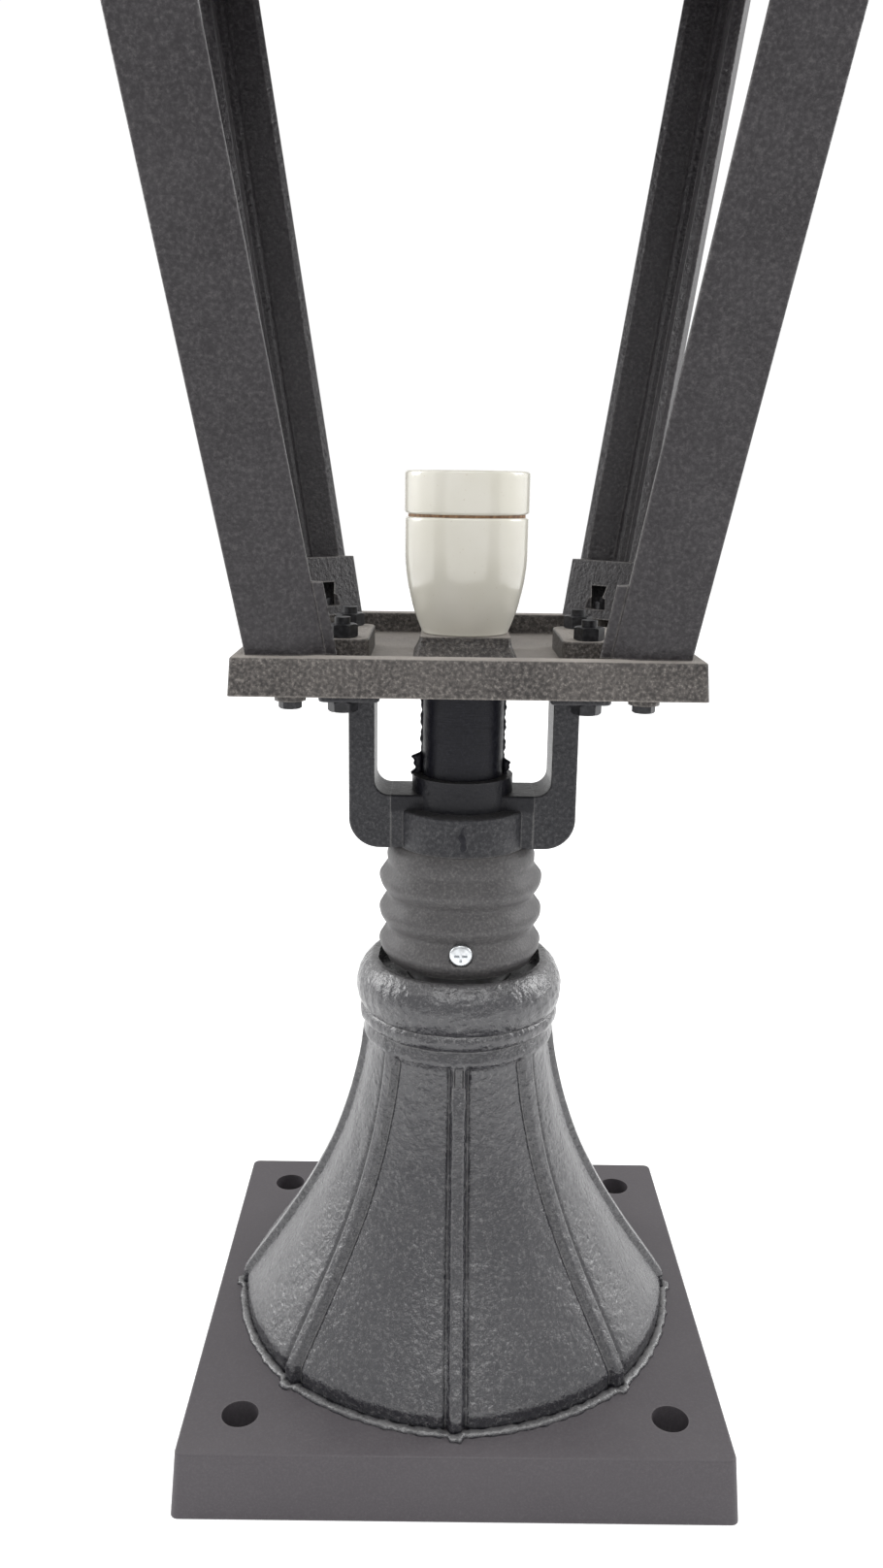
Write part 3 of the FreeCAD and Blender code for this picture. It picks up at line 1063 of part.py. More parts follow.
def roof_shell():
    """Hipped roof casting with a flat edge flange, hollow inside, with its own hinge barrels."""
    low = ROOF_FOOT + ROOF_FLANGE_THICKNESS
    flange = slab(ROOF_HALF, ROOF_HALF, FRAME_CORNER_RADIUS, ROOF_FOOT, low)
    flange = soften(soften(flange, ROOF_FOOT), low)
    roof = flange.fuse(roof_hill(0))
    hollow = roof_hill(ROOF_SLOPE_WALL)
    hollow.translate(UP * -ROOF_WALL)
    mouth = ROOF_HALF - ROOF_FLANGE_WIDTH - ROOF_SLOPE_WALL
    hollow = hollow.fuse(block(-mouth, mouth, -mouth, mouth, ROOF_FOOT, low - ROOF_WALL))
    roof = roof.cut(hollow)
    for side in (-1, 1):
        near = HINGE_INNER_X + HINGE_KNUCKLE_LENGTH + FIT_GAP
        ends = sorted((side * near, side * (near + HINGE_KNUCKLE_LENGTH)))
        arm = block(ends[0], ends[1], ROOF_HALF - CASTING_EDGE, HINGE_Y, ROOF_FOOT, low)
        roof = roof.fuse([knuckle(*ends), arm])
    roof = roof.cut(knuckle_bore())
    throat = VENT_RADIUS - VENT_WALL
    return roof.cut(rod(throat, low, ROOF_NECK_TOP)).removeSplitter()


def vent_bridge():
    """Flat bar under the roof's neck that the finial's stud pulls against."""
    high = ROOF_NECK_TOP - ROOF_WALL
    reach = VENT_RADIUS - VENT_WALL + BRIDGE_BEARING
    bar = block(-reach, reach, -BRIDGE_WIDTH / 2, BRIDGE_WIDTH / 2, high - BRIDGE_THICKNESS, high)
    return bar.cut(rod(STUD_DIAMETER / 2 + BOLT_CLEARANCE, high - BRIDGE_THICKNESS, high))


def vent_collar():
    """Round vent with upright slots between the roof's neck and its cap."""
    collar = pipe(VENT_RADIUS, VENT_RADIUS - VENT_WALL, ROOF_NECK_TOP, VENT_TOP)
    flange_top = ROOF_NECK_TOP + VENT_FLANGE_THICKNESS
    collar = collar.fuse(pipe(VENT_FLANGE_RADIUS, VENT_RADIUS - VENT_WALL, ROOF_NECK_TOP, flange_top))
    slot_low = VENT_TOP - VENT_TOP_BAND - VENT_SLOT_HEIGHT
    reach = VENT_FLANGE_RADIUS
    for k in range(VENT_SLOT_COUNT // 2):
        slot = block(-reach, reach, -VENT_SLOT_WIDTH / 2, VENT_SLOT_WIDTH / 2,
                     slot_low, slot_low + VENT_SLOT_HEIGHT)
        slot.rotate(ORIGIN, UP, (0.5 + k) * 360.0 / VENT_SLOT_COUNT)
        collar = collar.cut(slot)
    return collar.removeSplitter()


def vent_cap():
    """Domed cap over the vent with a brim that throws the rain clear."""
    brim_low, brim_high = VENT_TOP - VENT_BRIM_DROP, VENT_TOP + VENT_BRIM_RISE
    radius = VENT_CAP_RADIUS
    inner = radius - VENT_CAP_WALL
    crown = (FINIAL_RADIUS, CAP_TOP)
    shoulder = (radius * VENT_SHOULDER_SHARE, VENT_TOP + VENT_CAP_HEIGHT * VENT_SHOULDER_SHARE)
    edges = [line((0, VENT_TOP), (inner, VENT_TOP)), line((inner, VENT_TOP), (inner, brim_low)),
             line((inner, brim_low), (radius, brim_low)), line((radius, brim_low), (radius, brim_high)),
             arc((radius, brim_high), shoulder, crown), line(crown, (0, CAP_TOP)),
             line((0, CAP_TOP), (0, VENT_TOP))]
    return turned(edges).cut(rod(STUD_DIAMETER / 2 + BOLT_CLEARANCE, VENT_TOP, CAP_TOP))


def finial():
    """Turned finial: a foot, a ball and a tapering tip, tapped for the stud."""
    low, tip = CAP_TOP, CAP_TOP + FINIAL_HEIGHT
    ball, neck = FINIAL_RADIUS, FINIAL_NECK_RADIUS
    curve, ball_low, ball_high, cone_low = (low + FINIAL_HEIGHT * share for share in FINIAL_LEVELS)
    hollow = neck * FINIAL_HOLLOW_SHARE
    edges = [line((0, low), (ball, low)),
             arc((ball, low), (neck / FINIAL_HOLLOW_SHARE, curve), (neck, ball_low)),
             arc((neck, ball_low), (ball, (ball_low + ball_high) / 2), (neck, ball_high)),
             arc((neck, ball_high), (hollow, (ball_high + cone_low) / 2), (neck, cone_low)),
             line((neck, cone_low), (FINIAL_TIP_RADIUS, tip)), line((FINIAL_TIP_RADIUS, tip), (0, tip)),
             line((0, tip), (0, low))]
    return turned(edges).cut(rod(STUD_DIAMETER / 2 + THREAD_CLEARANCE, low, low + STUD_GRIP + HOLE_BOTTOM))


def finial_stud():
    """Threaded stud from the bridge up into the finial."""
    low = ROOF_NECK_TOP - ROOF_WALL - BRIDGE_THICKNESS - M8_NUT_HEIGHT - STUD_END
    return rod(STUD_DIAMETER / 2, low, CAP_TOP + STUD_GRIP)


def finial_nut():
    """Nut under the bridge on the finial's stud."""
    high = ROOF_NECK_TOP - ROOF_WALL - BRIDGE_THICKNESS
    return hex_nut(M8_FLATS, STUD_DIAMETER / 2 + THREAD_CLEARANCE, high - M8_NUT_HEIGHT, high)


def all_pieces():
    """Every piece by its node name."""
    makers = (base_plate, bell_foot, bell_neck, bell_screws, spigot_tube, spigot_screws,
              neck_sleeve, neck_set_screw,
              stem_pipe, stem_backnut, yoke_hub, yoke_arm_left, yoke_arm_right, yoke_bolts, yoke_nuts,
              lantern_tray, post_bolts, post_nuts, earth_screw,
              lampholder_body, holder_nipple, nipple_nuts, contact_block, lamp_screw_shell, centre_contact,
              terminal_screws, holder_seal, holder_ring,
              top_frame, top_frame_screws, top_frame_nuts, hinge_pin, roof_catch, catch_screw,
              roof_shell, vent_bridge, vent_collar, vent_cap, finial, finial_stud, finial_nut)
    pieces = {maker.__name__: maker() for maker in makers}
    pieces.update(corner_posts())
    return pieces


def main():
    """Build every piece and write one STEP file for each."""
    os.makedirs("parts", exist_ok=True)
    for name, shape in all_pieces().items():
        shape.exportStep("parts/" + name + ".step")
        print(name, "solids", len(shape.Solids), "volume", round(shape.Volume), "valid", shape.isValid())


main()
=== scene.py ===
"""Looks of a pedestal street lantern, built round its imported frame.

Lengths are in metres in the frame's own axes: +Z is up, the front is -Y and the ground is z = 0.
Each sub-assembly is a class that makes its finer meshes and dresses the frame's own nodes.
"""
import logging
import math
from dataclasses import dataclass, field, replace
from enum import Enum
from typing import Any

import bmesh
import bpy
import numpy as np
from mathutils import Matrix, Vector


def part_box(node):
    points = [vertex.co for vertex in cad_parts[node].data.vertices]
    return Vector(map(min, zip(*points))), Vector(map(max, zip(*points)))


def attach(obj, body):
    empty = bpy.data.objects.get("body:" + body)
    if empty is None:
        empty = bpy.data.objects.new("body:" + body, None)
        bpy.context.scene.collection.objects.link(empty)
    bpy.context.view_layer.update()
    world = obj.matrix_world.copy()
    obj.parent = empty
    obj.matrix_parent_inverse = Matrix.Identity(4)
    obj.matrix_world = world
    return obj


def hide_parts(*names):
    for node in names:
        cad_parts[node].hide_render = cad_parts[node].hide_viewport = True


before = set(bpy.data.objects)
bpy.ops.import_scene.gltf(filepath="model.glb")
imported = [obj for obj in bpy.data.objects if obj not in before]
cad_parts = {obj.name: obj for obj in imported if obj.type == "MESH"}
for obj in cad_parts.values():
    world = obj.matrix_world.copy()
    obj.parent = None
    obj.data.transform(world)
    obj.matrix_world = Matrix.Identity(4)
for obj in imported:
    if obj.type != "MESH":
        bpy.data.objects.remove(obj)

LOG = logging.getLogger("lantern")
MM = 0.001
Colour = tuple[float, float, float]
Spot = tuple[float, float]
INWARD, OUTWARD, UP, DOWN = (-1.0, 0.0), (1.0, 0.0), (0.0, 1.0), (0.0, -1.0)


class Body(Enum):
    """The frame's bodies that new pieces ride on."""

    PEDESTAL = "pedestal"
    HEAD = "lantern_head"
    RING = "holder_ring_body"


class Slot(Enum):
    """The record's material slots, listed here but not given to any piece."""

    CASTING = "casting_paint"
    GLAZE = "glazed_porcelain"


# ---- shader maths ---------------------------------------------------------------------------
class Signal:
    """An output socket that adds Math nodes when it is used in an expression."""

    def __init__(self, graph: "Graph", socket: bpy.types.NodeSocket) -> None:
        """Wraps one socket.

        Args:
            graph: the graph that the socket's node is in.
            socket: the output socket.
        """
        self.graph = graph
        self.socket = socket

    def output(self, name: str) -> "Signal":
        """Another output of the same node."""
        return Signal(self.graph, self.socket.node.outputs[name])

    def maths(self, operation: str, *values: Any) -> "Signal":
        """Adds one Math node.

        Args:
            operation: the Math node's operation.
            values: its inputs in order, each a number or a signal.

        Returns:
            The node's result.
        """
        return self.graph.node("ShaderNodeMath", {"operation": operation}, dict(enumerate(values)))

    def __add__(self, other: Any) -> "Signal":
        """Sum."""
        return self.maths("ADD", self, other)

    def __radd__(self, other: Any) -> "Signal":
        """Sum with the number first."""
        return self.maths("ADD", other, self)

    def __sub__(self, other: Any) -> "Signal":
        """Difference."""
        return self.maths("SUBTRACT", self, other)

    def __rsub__(self, other: Any) -> "Signal":
        """Difference with the number first."""
        return self.maths("SUBTRACT", other, self)

    def __mul__(self, other: Any) -> "Signal":
        """Product."""
        return self.maths("MULTIPLY", self, other)

    def ramp(self, low: float, high: float) -> "Signal":
        """A smooth step from 0 at low to 1 at high."""
        settings = {"interpolation_type": "SMOOTHSTEP"}
        sockets = {"Value": self, "From Min": low, "From Max": high}
        return self.graph.node("ShaderNodeMapRange", settings, sockets)


class Graph:
    """The node graph of one material, with its Principled shader."""

    def __init__(self, name: str) -> None:
        """Makes an empty material of that name."""
        self.material = bpy.data.materials.new(name)
        self.material.use_nodes = True
        self.tree = self.material.node_tree
        self.shader = self.tree.nodes["Principled BSDF"]

    def node(self, kind: str, settings: dict[str, Any] | None = None,
             sockets: dict[Any, Any] | None = None) -> Signal:
        """Adds a node.

        Args:
            kind: the node's type.
            settings: its properties, which are set first.
            sockets: values or signals by input name or number.

        Returns:
            The node's first output.
        """
        made = self.tree.nodes.new(kind)
        for key, value in (settings or {}).items():
            setattr(made, key, value)
        for key, value in (sockets or {}).items():
            self.feed(made.inputs[key], value)
        return Signal(self, made.outputs[0])

    def feed(self, socket: bpy.types.NodeSocket, value: Any) -> None:
        """Links a signal to an input, or sets the input's own value."""
        if isinstance(value, Signal):
            self.tree.links.new(value.socket, socket)
        elif socket.type == "RGBA":
            socket.default_value = (*value, 1.0)
        else:
            socket.default_value = value

    def place(self) -> Signal:
        """Object coordinates, in metres."""
        return self.node("ShaderNodeTexCoord").output("Object")

    def noise(self, size: float, detail: float = 3.0, roughness: float = 0.55,
              stretch: tuple[float, float, float] = (1.0, 1.0, 1.0)) -> Signal:
        """Cloudy noise.

        Args:
            size: width of its blotches in metres.
            detail: number of finer layers.
            roughness: weight of the finer layers.
            stretch: factor on the coordinate along each axis.

        Returns:
            A value round 0.5.
        """
        spot = self.node("ShaderNodeMapping", {}, {"Vector": self.place(), "Scale": stretch})
        values = {"Vector": spot, "Scale": 1.0 / size, "Detail": detail, "Roughness": roughness}
        return self.node("ShaderNodeTexNoise", {}, values)

    def cells(self, size: float) -> Signal:
        """Distance to the nearest of many scattered points, in units of the given size."""
        return self.node("ShaderNodeTexVoronoi", {}, {"Vector": self.place(), "Scale": 1.0 / size})

    def blend(self, factor: Any, first: Any, second: Any) -> Signal:
        """A colour mixed from two.

        Args:
            factor: 0 for the first colour, 1 for the second.
            first: a colour or a colour signal.
            second: a colour or a colour signal.

        Returns:
            The mixed colour.
        """
        made = self.tree.nodes.new("ShaderNodeMix")
        made.data_type = "RGBA"
        self.feed(made.inputs[0], factor)
        self.feed(made.inputs[6], first)
        self.feed(made.inputs[7], second)
        return Signal(self, made.outputs[2])

    def edges(self, radius: float) -> Signal:
        """How near a sharp edge is.

        Args:
            radius: distance in metres within which an edge shows.

        Returns:
            0 on flat ground, rising to 1 on an edge.
        """
        rounded = self.node("ShaderNodeBevel", {"samples": 4}, {"Radius": radius})
        facing = self.node("ShaderNodeNewGeometry").output("Normal")
        agree = self.node("ShaderNodeVectorMath", {"operation": "DOT_PRODUCT"}, {0: rounded, 1: facing})
        return (1.0 - agree.output("Value")).ramp(0.01, 0.16)

    def height(self) -> Signal:
        """Height in the object's own coordinates, in metres."""
        return self.node("ShaderNodeSeparateXYZ", {}, {0: self.place()}).output("Z")

    def upward(self) -> Signal:
        """The upward share of the surface's own normal."""
        normal = self.node("ShaderNodeTexCoord").output("Normal")
        return self.node("ShaderNodeSeparateXYZ", {}, {0: normal}).output("Z")

    def relief(self, height: Any, depth: float) -> Signal:
        """Bumps.

        Args:
            height: a height signal from 0 to 1.
            depth: the relief in metres.

        Returns:
            The bumped normal.
        """
        return self.node("ShaderNodeBump", {}, {"Height": height, "Distance": depth, "Strength": 1.0})

    def finish(self, **values: Any) -> bpy.types.Material:
        """Feeds the Principled shader.

        Args:
            values: its inputs, with underscores for spaces.

        Returns:
            The finished material.
        """
        for name, value in values.items():
            self.feed(self.shader.inputs[name.replace("_", " ")], value)
        return self.material


# ---- finishes -------------------------------------------------------------------------------
# Black standing for the yoke neck's darker paint and for painted shade under the tray.
DARK_AND_SHADE_BLACK: Colour = (0.004, 0.004, 0.007)
DARK_AND_SHADE_FADE = 2.0 * MM             # height over which the colour fades into the black of darker paint and painted shade
NEVER_DARK_OR_SHADED = 10.0                # a height above every piece
EDGE_REACH = 1.1 * MM           # how far the paler edge reaches: worn paint and painted highlight
CLOUD_SIZE = 28.0 * MM
WAVE_SIZE = 9.0 * MM
PIT_SPACING = 2.4               # in grains
TURNING_SIZE = 0.45 * MM


@dataclass(frozen=True)
class CastPaint:
    """Satin paint over a sand-cast surface, paler along the edges as worn paint and a painted highlight.

    Lengths are the grain's width and the depths of grain and swell. Specks, edge, dust and lines are
    the strengths of those marks, gloss is the paint's specular level, and above a given height in the
    object's own coordinates the colour turns black, for darker paint and painted shade.
    """

    name: str
    dark: Colour
    light: Colour
    speck: Colour
    roughness: float = 0.42
    grain: float = 1.1 * MM
    depth: float = 0.3 * MM
    swell: float = 0.35 * MM
    specks: float = 0.3
    edge: float = 0.5
    dust: float = 0.2
    gloss: float = 0.4
    lines: float = 0.0
    dark_and_shade_from: float = NEVER_DARK_OR_SHADED

    def make(self) -> bpy.types.Material:
        """Builds the material: grain, slow swells, specks, edges that are worn and carry a painted
        highlight, black for darker paint and painted shade above a height, and dusty tops.
        """
        g = Graph(self.name)
        sand = g.noise(self.grain, 3.0, 0.6)
        fine = g.noise(self.grain * 0.35, 2.0)
        cloud = g.noise(CLOUD_SIZE, 3.0)
        pits = g.cells(self.grain * PIT_SPACING).ramp(0.05, 0.42)
        edge = g.edges(EDGE_REACH)
        speck = (sand * 0.6 + fine * 0.4).ramp(0.53, 0.66) * self.specks
        mottle = cloud.ramp(0.3, 0.75) * 0.3 + sand.ramp(0.35, 0.65) * 0.7
        colour = g.blend(mottle, self.dark, self.light)
        colour = g.blend(speck, colour, self.speck)
        # paler edges: partly worn paint, partly a painted highlight
        colour = g.blend(edge * (0.35 + sand * 0.6) * self.edge, colour, self.speck)
        # above the given height the colour turns black: darker paint and painted shade under the tray
        dark_and_shade = g.height().ramp(self.dark_and_shade_from, self.dark_and_shade_from + DARK_AND_SHADE_FADE) * 0.85
        colour = g.blend(dark_and_shade, colour, DARK_AND_SHADE_BLACK)
        dusty = g.upward().ramp(0.5, 1.0) * (0.4 + cloud * 0.9) * self.dust
        colour = g.blend(dusty, colour, self.speck)
        rough = self.roughness + (sand - 0.5) * 0.3 + (cloud - 0.5) * 0.1 + dusty * 0.5
        turned = g.noise(TURNING_SIZE, 2.0, stretch=(0.08, 0.08, 1.0))
        height = sand * 0.55 + fine * 0.2 + pits * 0.25 + turned * self.lines
        coarse = g.relief(g.noise(WAVE_SIZE, 2.0), self.swell)
        bumped = g.relief(height, self.depth)
        g.feed(bumped.socket.node.inputs["Normal"], coarse)
        return g.finish(Base_Color=colour, Roughness=rough, Normal=bumped,
                        Specular_IOR_Level=self.gloss)


@dataclass(frozen=True)
class BlackZinc:
    """Blackened steel of bolts and nuts."""

    name: str = "black_fastener"
    dark: Colour = (0.012, 0.012, 0.014)
    light: Colour = (0.05, 0.05, 0.055)

    def make(self) -> bpy.types.Material:
        """Builds the material: dull black with rubbed edges."""
        g = Graph(self.name)
        patch = g.noise(1.6 * MM, 3.0)
        edge = g.edges(0.5 * MM)
        colour = g.blend(patch.ramp(0.4, 0.7) * 0.5 + edge * 0.5, self.dark, self.light)
        rough = 0.38 + (patch - 0.5) * 0.3
        return g.finish(Base_Color=colour, Roughness=rough, Metallic=0.35,
                        Normal=g.relief(patch, 0.05 * MM))


@dataclass(frozen=True)
class PlainMetal:
    """Bare or plated metal with fine turning marks and a faint patina."""

    name: str
    bright: Colour
    dull: Colour
    roughness: float = 0.28
    mark: float = 0.35 * MM

    def make(self) -> bpy.types.Material:
        """Builds the material: bright metal, cloudy patina, fine level scratches."""
        g = Graph(self.name)
        cloud = g.noise(5.0 * MM, 4.0)
        turned = g.noise(self.mark, 2.0, stretch=(0.2, 0.2, 3.0))
        colour = g.blend(cloud.ramp(0.42, 0.75), self.bright, self.dull)
        rough = self.roughness + (cloud - 0.5) * 0.2 + (turned - 0.5) * 0.15
        return g.finish(Base_Color=colour, Roughness=rough, Metallic=1.0,
                        Normal=g.relief(turned, 0.02 * MM))


@dataclass(frozen=True)
class Glaze:
    """Warm white glaze on porcelain."""

    name: str = "porcelain_glaze"
    pale: Colour = (0.68, 0.66, 0.59)
    warm: Colour = (0.65, 0.63, 0.55)
    dot: Colour = (0.36, 0.27, 0.16)
    coat: float = 0.6

    def make(self) -> bpy.types.Material:
        """Builds the material: glossy cream with slow drift, fine specks and faint waves."""
        g = Graph(self.name)
        drift = g.noise(22.0 * MM, 2.0)
        dots = g.noise(1.1 * MM, 1.0).ramp(0.72, 0.78)
        edge = g.edges(0.9 * MM)
        colour = g.blend(drift.ramp(0.3, 0.75), self.pale, self.warm)
        colour = g.blend(dots * 0.25 + edge * 0.18, colour, self.dot)
        rough = 0.16 + drift * 0.08
        return g.finish(Base_Color=colour, Roughness=rough, Coat_Weight=self.coat,
                        Normal=g.relief(g.noise(7.0 * MM, 2.0), 0.05 * MM))


@dataclass(frozen=True)
class DryMatter:
    """Fibre or unglazed ceramic: matt and slightly mottled."""

    name: str
    dark: Colour
    light: Colour
    depth: float = 0.05 * MM

    def make(self) -> bpy.types.Material:
        """Builds the material: mottled matt colour with a fine tooth."""
        g = Graph(self.name)
        mottle = g.noise(1.5 * MM, 4.0)
        colour = g.blend(mottle.ramp(0.35, 0.7), self.dark, self.light)
        return g.finish(Base_Color=colour, Roughness=0.75 + (mottle - 0.5) * 0.2,
                        Normal=g.relief(mottle, self.depth))


# The castings all wear one satin black paint. Each copy below is set to the brightness of its own part, so
# how much darker or paler one copy is than another is partly painted shade and painted light.
BELL_PAINT = CastPaint("bell_paint", (0.008, 0.008, 0.012), (0.026, 0.025, 0.029), (0.26, 0.255, 0.25),
                       roughness=0.2, grain=1.5 * MM, depth=0.6 * MM, swell=0.9 * MM, specks=0.2,
                       edge=0.6, dust=0.25, gloss=1.0)
PLATE_PAINT = CastPaint("plate_paint", (0.050, 0.044, 0.050), (0.064, 0.058, 0.064), (0.17, 0.16, 0.16),
                        roughness=0.55, grain=0.8 * MM, depth=0.08 * MM, swell=0.1 * MM,
                        specks=0.12, dust=0.1)
SLEEVE_PAINT = CastPaint("sleeve_paint", (0.040, 0.038, 0.040), (0.078, 0.075, 0.075), (0.22, 0.21, 0.205),
                         roughness=0.5, grain=1.0 * MM, depth=0.25 * MM, specks=0.25, dust=0.35)
YOKE_PAINT = CastPaint("yoke_paint", (0.015, 0.015, 0.018), (0.040, 0.040, 0.044), (0.24, 0.235, 0.23),
                       roughness=0.36, grain=1.4 * MM, depth=0.4 * MM, specks=0.14, edge=0.7, gloss=0.25)
STEM_PAINT = CastPaint("stem_paint", (0.003, 0.003, 0.006), (0.007, 0.007, 0.012), (0.05, 0.05, 0.055),
                       roughness=0.4, depth=0.12 * MM, specks=0.15, edge=0.3, dust=0.0, gloss=0.22,
                       lines=0.8)
TRAY_PAINT = CastPaint("tray_paint", (0.018, 0.015, 0.014), (0.098, 0.088, 0.081), (0.37, 0.34, 0.31),
                       roughness=0.4, grain=1.3 * MM, depth=1.0 * MM, specks=0.26, edge=0.7, dust=0.8,
                       gloss=0.4)
POST_PAINT = CastPaint("post_paint", (0.018, 0.016, 0.018), (0.040, 0.037, 0.040), (0.26, 0.245, 0.235),
                       roughness=0.38, grain=1.4 * MM, depth=0.6 * MM, specks=0.08, edge=0.85, gloss=0.3)
ROOF_PAINT = CastPaint("roof_paint", (0.026, 0.026, 0.029), (0.05, 0.049, 0.052), (0.2, 0.19, 0.185),
                       roughness=0.36, grain=1.5 * MM, depth=0.5 * MM, swell=0.5 * MM, gloss=0.6)
ZINC = PlainMetal("zinc_steel", (0.62, 0.64, 0.66), (0.34, 0.35, 0.36))
STEEL = PlainMetal("drawn_steel", (0.5, 0.5, 0.51), (0.3, 0.29, 0.28), roughness=0.34)
BRASS = PlainMetal("brass", (0.78, 0.58, 0.25), (0.45, 0.31, 0.13), roughness=0.3)
FIBRE = DryMatter("fibre", (0.16, 0.085, 0.045), (0.33, 0.2, 0.11))
BISQUE = DryMatter("bare_porcelain", (0.62, 0.58, 0.5), (0.78, 0.75, 0.68), 0.03 * MM)


@dataclass
class Wardrobe:
    """Makes each finish once and puts it on meshes."""

    made: dict[str, bpy.types.Material] = field(default_factory=dict)

    def material(self, finish: Any) -> bpy.types.Material:
        """The finish's material, made at its first use."""
        if finish.name not in self.made:
            self.made[finish.name] = finish.make()
        return self.made[finish.name]

    def dress(self, finish: Any, *objects: bpy.types.Object) -> None:
        """Gives every slot of the objects one finish."""
        for thing in objects:
            if not thing.data.materials:
                thing.data.materials.append(None)
            for k in range(len(thing.data.materials)):
                thing.data.materials[k] = self.material(finish)

    def dress_nodes(self, finish: Any, *names: str) -> None:
        """Gives the frame's own nodes one finish."""
        self.dress(finish, *[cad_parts[name] for name in names])
        LOG.info("dressed %s in %s", ", ".join(names), finish.name)


# ---- surfaces -------------------------------------------------------------------------------
def surface(name: str, points: np.ndarray, crease_deg: float) -> bpy.types.Object:
    """A closed mesh from a grid of points that wraps round both ways, like a tyre.

    Args:
        name: the new object's name.
        points: rows x columns x 3 places.
        crease_deg: faces that meet at more than this stay crisp.

    Returns:
        The object, linked to the scene, with its faces pointing outwards.
    """
    rows, columns = points.shape[:2]
    index = np.arange(rows * columns).reshape(rows, columns)
    below = np.roll(index, -1, axis=0)
    quads = np.stack([index, np.roll(index, -1, axis=1), np.roll(below, -1, axis=1), below], axis=-1)
    quads = quads.reshape(-1, 4)
    flat = points.reshape(-1, 3)
    a, b, c, d = (flat[quads[:, k]] for k in range(4))
    volume = np.einsum("ij,ij->i", a, np.cross(b, c) + np.cross(c, d)).sum()
    if volume < 0:
        quads = quads[:, ::-1]
    mesh = bpy.data.meshes.new(name)
    mesh.from_pydata(flat, [], quads)
    mesh.shade_smooth()
    mesh.set_sharp_from_angle(angle=math.radians(crease_deg))
    made = bpy.data.objects.new(name, mesh)
    bpy.context.scene.collection.objects.link(made)
    return made


def capped(name: str, rings: np.ndarray) -> bpy.types.Object:
    """A closed mesh from a stack of rings whose first and last have shrunk to a point.

    Args:
        name: the new object's name.
        rings: rows x columns x 3 places.

    Returns:
        The object, with its doubled end points merged and its faces pointing outwards.
    """
    made = surface(name, rings, 70.0)
    tool = bmesh.new()
    tool.from_mesh(made.data)
    bmesh.ops.remove_doubles(tool, verts=tool.verts, dist=0.001 * MM)
    bmesh.ops.recalc_face_normals(tool, faces=tool.faces)
    tool.to_mesh(made.data)
    tool.free()
    return made


def run(start: Spot, end: Spot, count: int) -> np.ndarray:
    """Evenly spaced (radius, height) points on a straight line, without its end."""
    share = np.linspace(0.0, 1.0, count, endpoint=False)[:, None]
    return np.array(start) * (1 - share) + np.array(end) * share


def track(corners: list[Spot], counts: list[int]) -> np.ndarray:
    """Straight lines from corner to corner, without the last corner.

    Args:
        corners: (radius, height) places.
        counts: number of points on each line.

    Returns:
        The points of all the lines, one after another.
    """
    return np.concatenate([run(*line) for line in zip(corners, corners[1:], counts)])


def bow(start: Spot, middle: Spot, end: Spot, count: int) -> np.ndarray:
    """Points on the circle through three (radius, height) points, without the end.

    Args:
        start: where the arc begins.
        middle: a point it passes through.
        end: where it ends.
        count: number of points.

    Returns:
        count x 2 points. The centre is where the perpendicular bisectors of the two chords cross,
        and the angle goes evenly from the start to the end by way of the middle.
    """
    p, q, r = (np.array(point, float) for point in (start, middle, end))
    system = 2 * np.array([q - p, r - q])
    centre = np.linalg.solve(system, [q @ q - p @ p, r @ r - q @ q])
    radius = np.linalg.norm(p - centre)
    first, between, last = (math.atan2(*(point - centre)[::-1]) for point in (p, q, r))
    full = 2 * math.pi
    sweep = (last - first) % full
    if (between - first) % full > sweep:
        sweep -= full
    angle = first + sweep * np.linspace(0.0, 1.0, count, endpoint=False)
    return centre + radius * np.stack([np.cos(angle), np.sin(angle)], axis=-1)


def softened(corner: Spot, before: Spot, after: Spot, size: float, count: int) -> np.ndarray:
    """A rounded corner, from one size before it to one size after it, without the end.

    Args:
        corner: the sharp corner's (radius, height).
        before: the direction from the corner back along the outline.
        after: the direction from the corner on along the outline.
        size: how far from the corner the rounding starts and ends.
        count: number of points.

    Returns:
        Points on the circle through both ends and a place three tenths of the size in from the corner.
    """
    place, back, on = (np.array(value) for value in (corner, before, after))
    return bow(place + size * back, place + 0.3 * size * (back + on), place + size * on, count)


def around(radius: np.ndarray, angle: np.ndarray, height: np.ndarray) -> np.ndarray:
    """Places round the upright axis: x and y are the radius times the angle's cosine and sine."""
    x, y = radius * np.cos(angle), radius * np.sin(angle)
    return np.stack([x, y, np.broadcast_to(height, x.shape)], axis=-1)


def revolve(profile: np.ndarray, columns: int) -> np.ndarray:
    """Carries a closed (radius, height) profile round the upright axis.

    Args:
        profile: rows x 2 points.
        columns: steps round the axis.

    Returns:
        rows x columns x 3 places.
    """
    angle = np.linspace(0.0, 2 * math.pi, columns, endpoint=False)
    return around(profile[:, :1], angle, profile[:, 1:])


def smooth(value: np.ndarray, low: float, high: float) -> np.ndarray:
    """A smooth step from 0 at low to 1 at high: three times the square less twice the cube."""
    share = np.clip((value - low) / (high - low), 0.0, 1.0)
    return share * share * (3 - 2 * share)


def uneven(angle: np.ndarray, height: np.ndarray) -> np.ndarray:
    """Slow hand-moulded unevenness between about -1 and 1, a sum of crossed waves."""
    turns = np.sin(5 * angle + 61 * height + 0.4) * np.sin(3 * angle - 97 * height)
    return 0.6 * turns + 0.4 * np.sin(11 * angle + 173 * height + 1.7) * np.sin(7 * angle + 131 * height)


def ride(piece: bpy.types.Object, body: Body) -> None:
    """Fixes a new piece to a body."""
    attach(piece, body.value)
    LOG.info("made %s with %d faces on %s", piece.name, len(piece.data.polygons), body.value)


